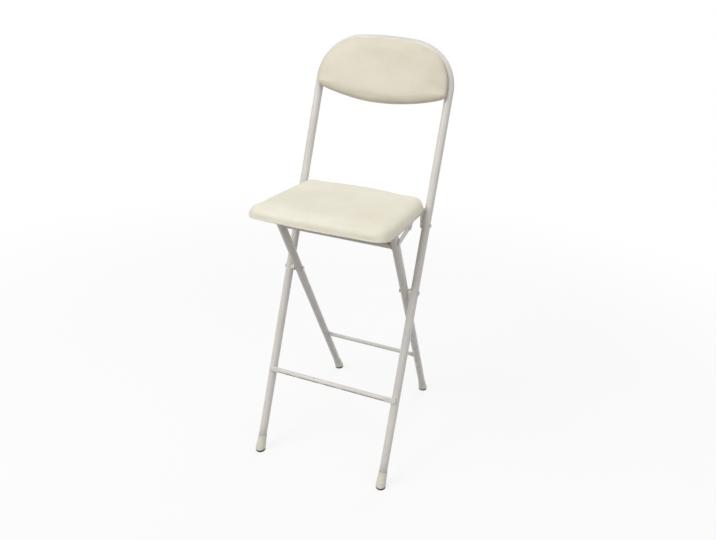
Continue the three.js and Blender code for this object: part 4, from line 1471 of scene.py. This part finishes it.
    def hem(self) -> None:
        """The cover's turned-under edge: a thin band on the board's back.

        Its inner edge is cut unevenly, inset = w + 1.6 sin(9 t) + 0.9 sin(23 t + 1).
        """
        count = 360
        t = np.arange(count) * TURN / count
        inner = self.hem_inset + 1.6 * np.sin(9 * t) + 0.9 * np.sin(23 * t + 1)
        section = [(5.2, 0.1), (5.0, -0.24), (7.0, -0.32), (inner - 0.5, -0.3), (inner, -0.15), (inner, 0.05)]
        rings = np.stack([
            np.concatenate([self.shape.outline(inset, count), np.full((count, 1), height)], -1)
            for inset, height in section
        ])
        placed(looped(f"{self.name}_hem", self.out(self.narrowed(rings))), self.body, self.slot)

    def staples(self) -> None:
        """Staples through the hem: each is a low wire arch, h = top (1 - u^6), repeated along the band."""
        line = self.shape.outline(self.staple_inset, 720)
        run = np.linalg.norm(np.roll(line, -1, 0) - line, axis=1).sum()
        count = int(run / self.staple_spacing)
        at = (np.arange(count) * len(line) / count + 11).astype(int) % len(line)
        heading = np.roll(line, -2, 0)[at] - np.roll(line, 2, 0)[at]
        heading = np.arctan2(heading[:, 1], heading[:, 0]) + 0.3 * np.sin(np.arange(count) * 2.3)
        stations, facets = 9, 6
        u = np.linspace(-1, 1, stations)
        ring = np.arange(facets) * TURN / facets
        x = np.broadcast_to(4.6 * u[:, None], (stations, facets))
        y = np.broadcast_to(0.55 * np.cos(ring), (stations, facets))
        z = -0.45 * (1 - u[:, None] ** 6) - 0.1 + 0.32 * np.sin(ring)
        c, s = np.cos(heading)[:, None, None], np.sin(heading)[:, None, None]
        px = line[at, 0][:, None, None] + x * c - y * s
        py = line[at, 1][:, None, None] + x * s + y * c
        rings = np.stack([px, py, np.broadcast_to(z, px.shape)], -1)
        points = self.narrowed(rings.reshape(-1, 3))
        each = quads(stations, facets)
        k = np.arange(1, facets - 1)
        zero = np.zeros_like(k)
        last_ring = (stations - 1) * facets
        ends = np.concatenate([np.stack([zero, k + 1, k], -1), np.stack([zero, k, k + 1], -1) + last_ring])
        base = (np.arange(count) * stations * facets)[:, None, None]
        faces = [(each + base).reshape(-1, 4), (ends + base).reshape(-1, 3)]
        placed(skin(f"{self.name}_staples", self.out(points), faces), self.body, "bare_steel")

    def build(self) -> bpy.types.Object:
        """Makes the cover, its hem and its staples."""
        piece = self.cover()
        self.hem()
        self.staples()
        return piece


# Screws


@dataclass(frozen=True)
class PanScrew:
    """A wood screw's pan head with a cross recess, and its shank."""

    head: float = 4.0
    rise: float = 2.2
    shank: float = 1.9
    recess: float = 1.3
    slot_width: float = 0.5
    length: float = 5.0
    face_steps: int = 22
    facets: int = 64

    def build(
        self, name: str, node: str, body: str, stand: Stand, local: tuple[float, float, float], out: Array
    ) -> None:
        """Makes a screw.

        The head's face is h = H (1 - (r / R)^4)^(1/2) less a cross of two slots, d exp(-(a / w)^6) for a the
        distance from a slot's middle, over radii below 0.6 R.

        Args:
            name: the piece's name.
            node: the node that it stands for.
            body: the body that it rides on.
            stand: the axes that it is drawn in.
            local: the middle of the head's flat side.
            out: the way that the head points.
        """
        share = np.linspace(1, 0.04, self.face_steps)
        r = np.concatenate([[AXIS_GAP, self.shank, self.shank, self.head], share * self.head])
        stem = [-self.length, 0.4 - self.length, 0.0, 0.0]
        h = np.concatenate([stem, self.rise * np.sqrt(1.0001 - share**4)])
        t = np.arange(self.facets) * TURN / self.facets + 0.4
        x, y = r[:, None] * np.cos(t), r[:, None] * np.sin(t)
        turned_x, turned_y = x * 0.82 + y * 0.57, y * 0.82 - x * 0.57
        slots = [np.exp(-((along / self.slot_width) ** 6)) for along in (turned_x, turned_y)]
        cross = np.maximum(*slots)
        inside = 1 / (1 + (np.hypot(x, y) / (0.6 * self.head)) ** 14)
        height = h[:, None] - self.recess * cross * inside * (h[:, None] > 0.5)
        side = np.roll(out, 1)
        other = np.cross(out, side)
        rings = np.array(local) + x[..., None] * side + y[..., None] * other + height[..., None] * out
        placed(capped(name, stand.out(rings)), body, "bare_steel", node)


@dataclass(frozen=True)
class Screws:
    """The screws of the seat's brackets and of the back rest's tabs."""

    seat_z: float = 41.1
    back_y: float = -9.0
    screw: PanScrew = field(default_factory=PanScrew)

    def build(self) -> None:
        """Makes all the screws."""
        for side in Side:
            for i in range(3):
                name = f"seat_screw_{side.label}_{i + 1}"
                local = SEAT.into(middle(name))
                place = (local[0], local[1], self.seat_z)
                self.screw.build(f"pan_{name}", name, "seat", SEAT, place, -Z_AXIS)
            for level in ("lower", "upper"):
                node = f"back_screw_{level}_{side.label}"
                local = MAIN.into(middle(node))
                place = (local[0], self.back_y, local[2])
                self.screw.build(f"pan_{node}", node, "main_frame", MAIN, place, Y_AXIS)


# Plain nodes


@dataclass(frozen=True)
class Fittings:
    """The plates and boards that stay as the frame has them and only get their finishes."""

    finishes: dict[str, str] = field(
        default_factory=lambda: {
            "seat_bracket": "powder_coat",
            "seat_link": "powder_coat",
            "back_tab": "powder_coat",
            "seat_board": "plywood",
            "back_board": "back_plywood",
        }
    )

    def build(self) -> None:
        """Dresses each node by the start of its name."""
        for name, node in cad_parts.items():
            for start, finish in self.finishes.items():
                if name.startswith(start):
                    WARDROBE.dress_node(node, finish)
                    log.info("%s keeps its shape and gets %s", name, finish)


# Studio


@dataclass(frozen=True)
class Studio:
    """The camera at the photograph's angle, the pale floor and the soft lights."""

    focal: float = 579.91
    yaw: float = 0.2804
    pitch: float = 0.3727
    roll: float = 0.0836
    eye: tuple[float, float, float] = (579.09, -1374.17, 1227.14)
    centre: tuple[float, float] = (422.0, 235.0)
    sensor: float = 36.0

    def camera(self) -> None:
        """Makes the camera: its axes come from yaw, pitch and roll, and its shift from the image's centre."""
        cy, sy, cp, sp = math.cos(self.yaw), math.sin(self.yaw), math.cos(self.pitch), math.sin(self.pitch)
        cr, sr = math.cos(self.roll), math.sin(self.roll)
        ahead, right = Vector((-sy, cy, 0)), Vector((cy, sy, 0))
        forward = ahead * cp - Vector((0, 0, 1)) * sp
        up = Vector((0, 0, 1)) * cp + ahead * sp
        x_axis, y_axis = right * cr + up * sr, up * cr - right * sr
        width, height = IMAGE_SIZE
        data = bpy.data.cameras.new("camera")
        data.sensor_fit, data.sensor_width = "HORIZONTAL", self.sensor
        data.lens = self.focal / width * self.sensor
        data.shift_x = (width / 2 - self.centre[0]) / width
        data.shift_y = (self.centre[1] - height / 2) / width
        data.clip_start, data.clip_end = 0.05, 60.0
        camera = bpy.data.objects.new("camera", data)
        axes = Matrix((x_axis, y_axis, -forward)).transposed().to_4x4()
        camera.matrix_world = Matrix.Translation(Vector(self.eye) * MM) @ axes
        bpy.context.scene.collection.objects.link(camera)
        bpy.context.scene.camera = camera

    def floor(self) -> None:
        """A wide disc that throws little light back.

        The camera and reflections see it lifted to white, and it keeps the stool's shadow.
        """
        t = np.arange(96) * TURN / 96
        rings = np.stack([
            np.stack([r * np.cos(t), r * np.sin(t), np.full_like(t, z)], -1)
            for r, z in ((0.5, 0.0), (4.0, 0.0), (14.0, 0.0), (14.0, -0.02), (0.5, -0.02))
        ])
        piece = capped("studio_floor", rings)
        tree = Tree("studio_floor")
        path = tree.add("ShaderNodeLightPath", {}, {}, "Is Camera Ray")
        glossy = Sock(tree, path.socket.node.outputs["Is Glossy Ray"])
        clear = Sock(tree, path.socket.node.outputs["Is Transmission Ray"])
        seen = (path + glossy + clear).smooth(0.0, 1.0)
        distance = tree.add("ShaderNodeVectorMath", {"operation": "LENGTH"}, {0: tree.place}, "Value")
        far = distance.smooth(1.0, 2.6)
        white = tree.add("ShaderNodeEmission", {}, {"Color": (1, 1, 1, 1), "Strength": 1.0})
        plain = tree.add("ShaderNodeBsdfDiffuse", {}, {"Color": (0.85, 0.85, 0.85, 1)})
        dull = tree.add("ShaderNodeBsdfDiffuse", {}, {"Color": (0.3, 0.3, 0.29, 1)})
        lifted = tree.add("ShaderNodeMixShader", {}, {0: far * 0.2 + 0.8, 1: plain, 2: white})
        out = tree.add("ShaderNodeMixShader", {}, {0: seen, 1: dull, 2: lifted})
        tree.links.new(out.socket, tree.nodes["Material Output"].inputs["Surface"])
        piece.data.materials.append(tree.material)

    def sky(self) -> None:
        """An even pale light from all round, seen as white."""
        world = bpy.data.worlds.new("studio")
        world.use_nodes = True
        bpy.context.scene.world = world
        nodes, links = world.node_tree.nodes, world.node_tree.links
        path = nodes.new("ShaderNodeLightPath")
        seen = nodes.new("ShaderNodeMath")
        seen.operation = "MAXIMUM"
        links.new(path.outputs["Is Camera Ray"], seen.inputs[0])
        links.new(path.outputs["Is Transmission Ray"], seen.inputs[1])
        soft = nodes["Background"]
        white = nodes.new("ShaderNodeBackground")
        mix = nodes.new("ShaderNodeMixShader")
        soft.inputs["Color"].default_value = (1.0, 0.995, 0.98, 1)
        soft.inputs["Strength"].default_value = 0.56
        white.inputs["Color"].default_value = (1, 1, 1, 1)
        white.inputs["Strength"].default_value = 1.0
        links.new(seen.outputs[0], mix.inputs[0])
        links.new(soft.outputs[0], mix.inputs[1])
        links.new(white.outputs[0], mix.inputs[2])
        links.new(mix.outputs[0], nodes["World Output"].inputs[0])

    def lamp(self, name: str, place: tuple[float, float, float], watts: float, size: float) -> None:
        """A square soft light aimed at the middle of the stool.

        Args:
            name: the lamp's name.
            place: where it stands, in metres.
            watts: its power.
            size: its side in metres.
        """
        data = bpy.data.lights.new(name, "AREA")
        data.energy, data.size = watts, size
        lamp = bpy.data.objects.new(name, data)
        lamp.location = place
        lamp.rotation_euler = (Vector((0, 0, 0.65)) - Vector(place)).to_track_quat("-Z", "Y").to_euler()
        bpy.context.scene.collection.objects.link(lamp)

    def build(self) -> None:
        """Makes the camera, floor and lights, and sets the plain view transform."""
        bpy.context.scene.view_settings.view_transform = "Standard"
        self.camera()
        self.floor()
        self.sky()
        self.lamp("key", (-2.0, -2.4, 3.4), 80.0, 2.4)
        self.lamp("fill", (2.8, -1.8, 2.6), 26.0, 2.4)
        self.lamp("rear", (0.4, 3.0, 3.0), 26.0, 2.0)


# Main


# Where the two boards lie in mm: over the hinges' line, before the tube's axis, and down from the arch's axis
SEAT_BOARD_RISE = 43.1
BACK_BOARD_FORWARD = 11.3
BACK_BOTTOM_DROP = 176.0
SEAT_PAD = Cushion(
    name="seat_pad",
    node="seat_cushion",
    body="seat",
    slot="seat_leather",
    stand=SEAT,
    shift=(0.0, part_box("seat_cushion")[0].y / MM - HINGE[1] - 1.0, SEAT_BOARD_RISE),
    upright=False,
    fill=0.75,
    swell=5.0,
    draw=0.046,
    shape=PadShape(
        half_width=184.0,
        length=327.0,
        near_corner=32.0,
        near_bow=4.0,
        far_corner=30.0,
        far_bow=6.0,
        thickness=30.5,
        edge=20.0,
        drop=15.5,
    ),
)
BACK_PAD = Cushion(
    name="back_pad",
    node="back_cushion",
    body="main_frame",
    slot="back_leather",
    stand=MAIN,
    shift=(0.0, -BACK_BOARD_FORWARD, (OVERALL_HEIGHT - TUBE_RADIUS) * MAIN_RISE - BACK_BOTTOM_DROP),
    upright=True,
    fill=0.75,
    swell=5.0,
    cells=48,
    shape=PadShape(
        half_width=185.0,
        length=178.0,
        near_corner=17.0,
        near_bow=18.0,
        far_corner=117.0,
        far_bow=5.0,
        thickness=24.0,
        edge=14.0,
        drop=11.5,
    ),
)


def main() -> None:
    """Builds the stool's pieces in order."""
    logging.basicConfig(level=logging.INFO, format="%(message)s")
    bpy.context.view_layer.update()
    Studio().build()
    MainFrame().build()
    RearLegs().build()
    for side in Side:
        front, rear = f"front_foot_{{}}_{side.label}", f"rear_foot_{{}}_{side.label}"
        Foot(MAIN, "main_frame", front, side.value * MAIN_LEG_X, 0.0).build()
        Foot(REAR, "rear_legs", rear, side.value * REAR_LEG_X, REAR_FLOOR).build()
    Rivets().build()
    Screws().build()
    Fittings().build()
    seat = SEAT_PAD.build()
    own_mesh(seat)
    BACK_PAD.build()


if __name__ == "__main__":
    main()
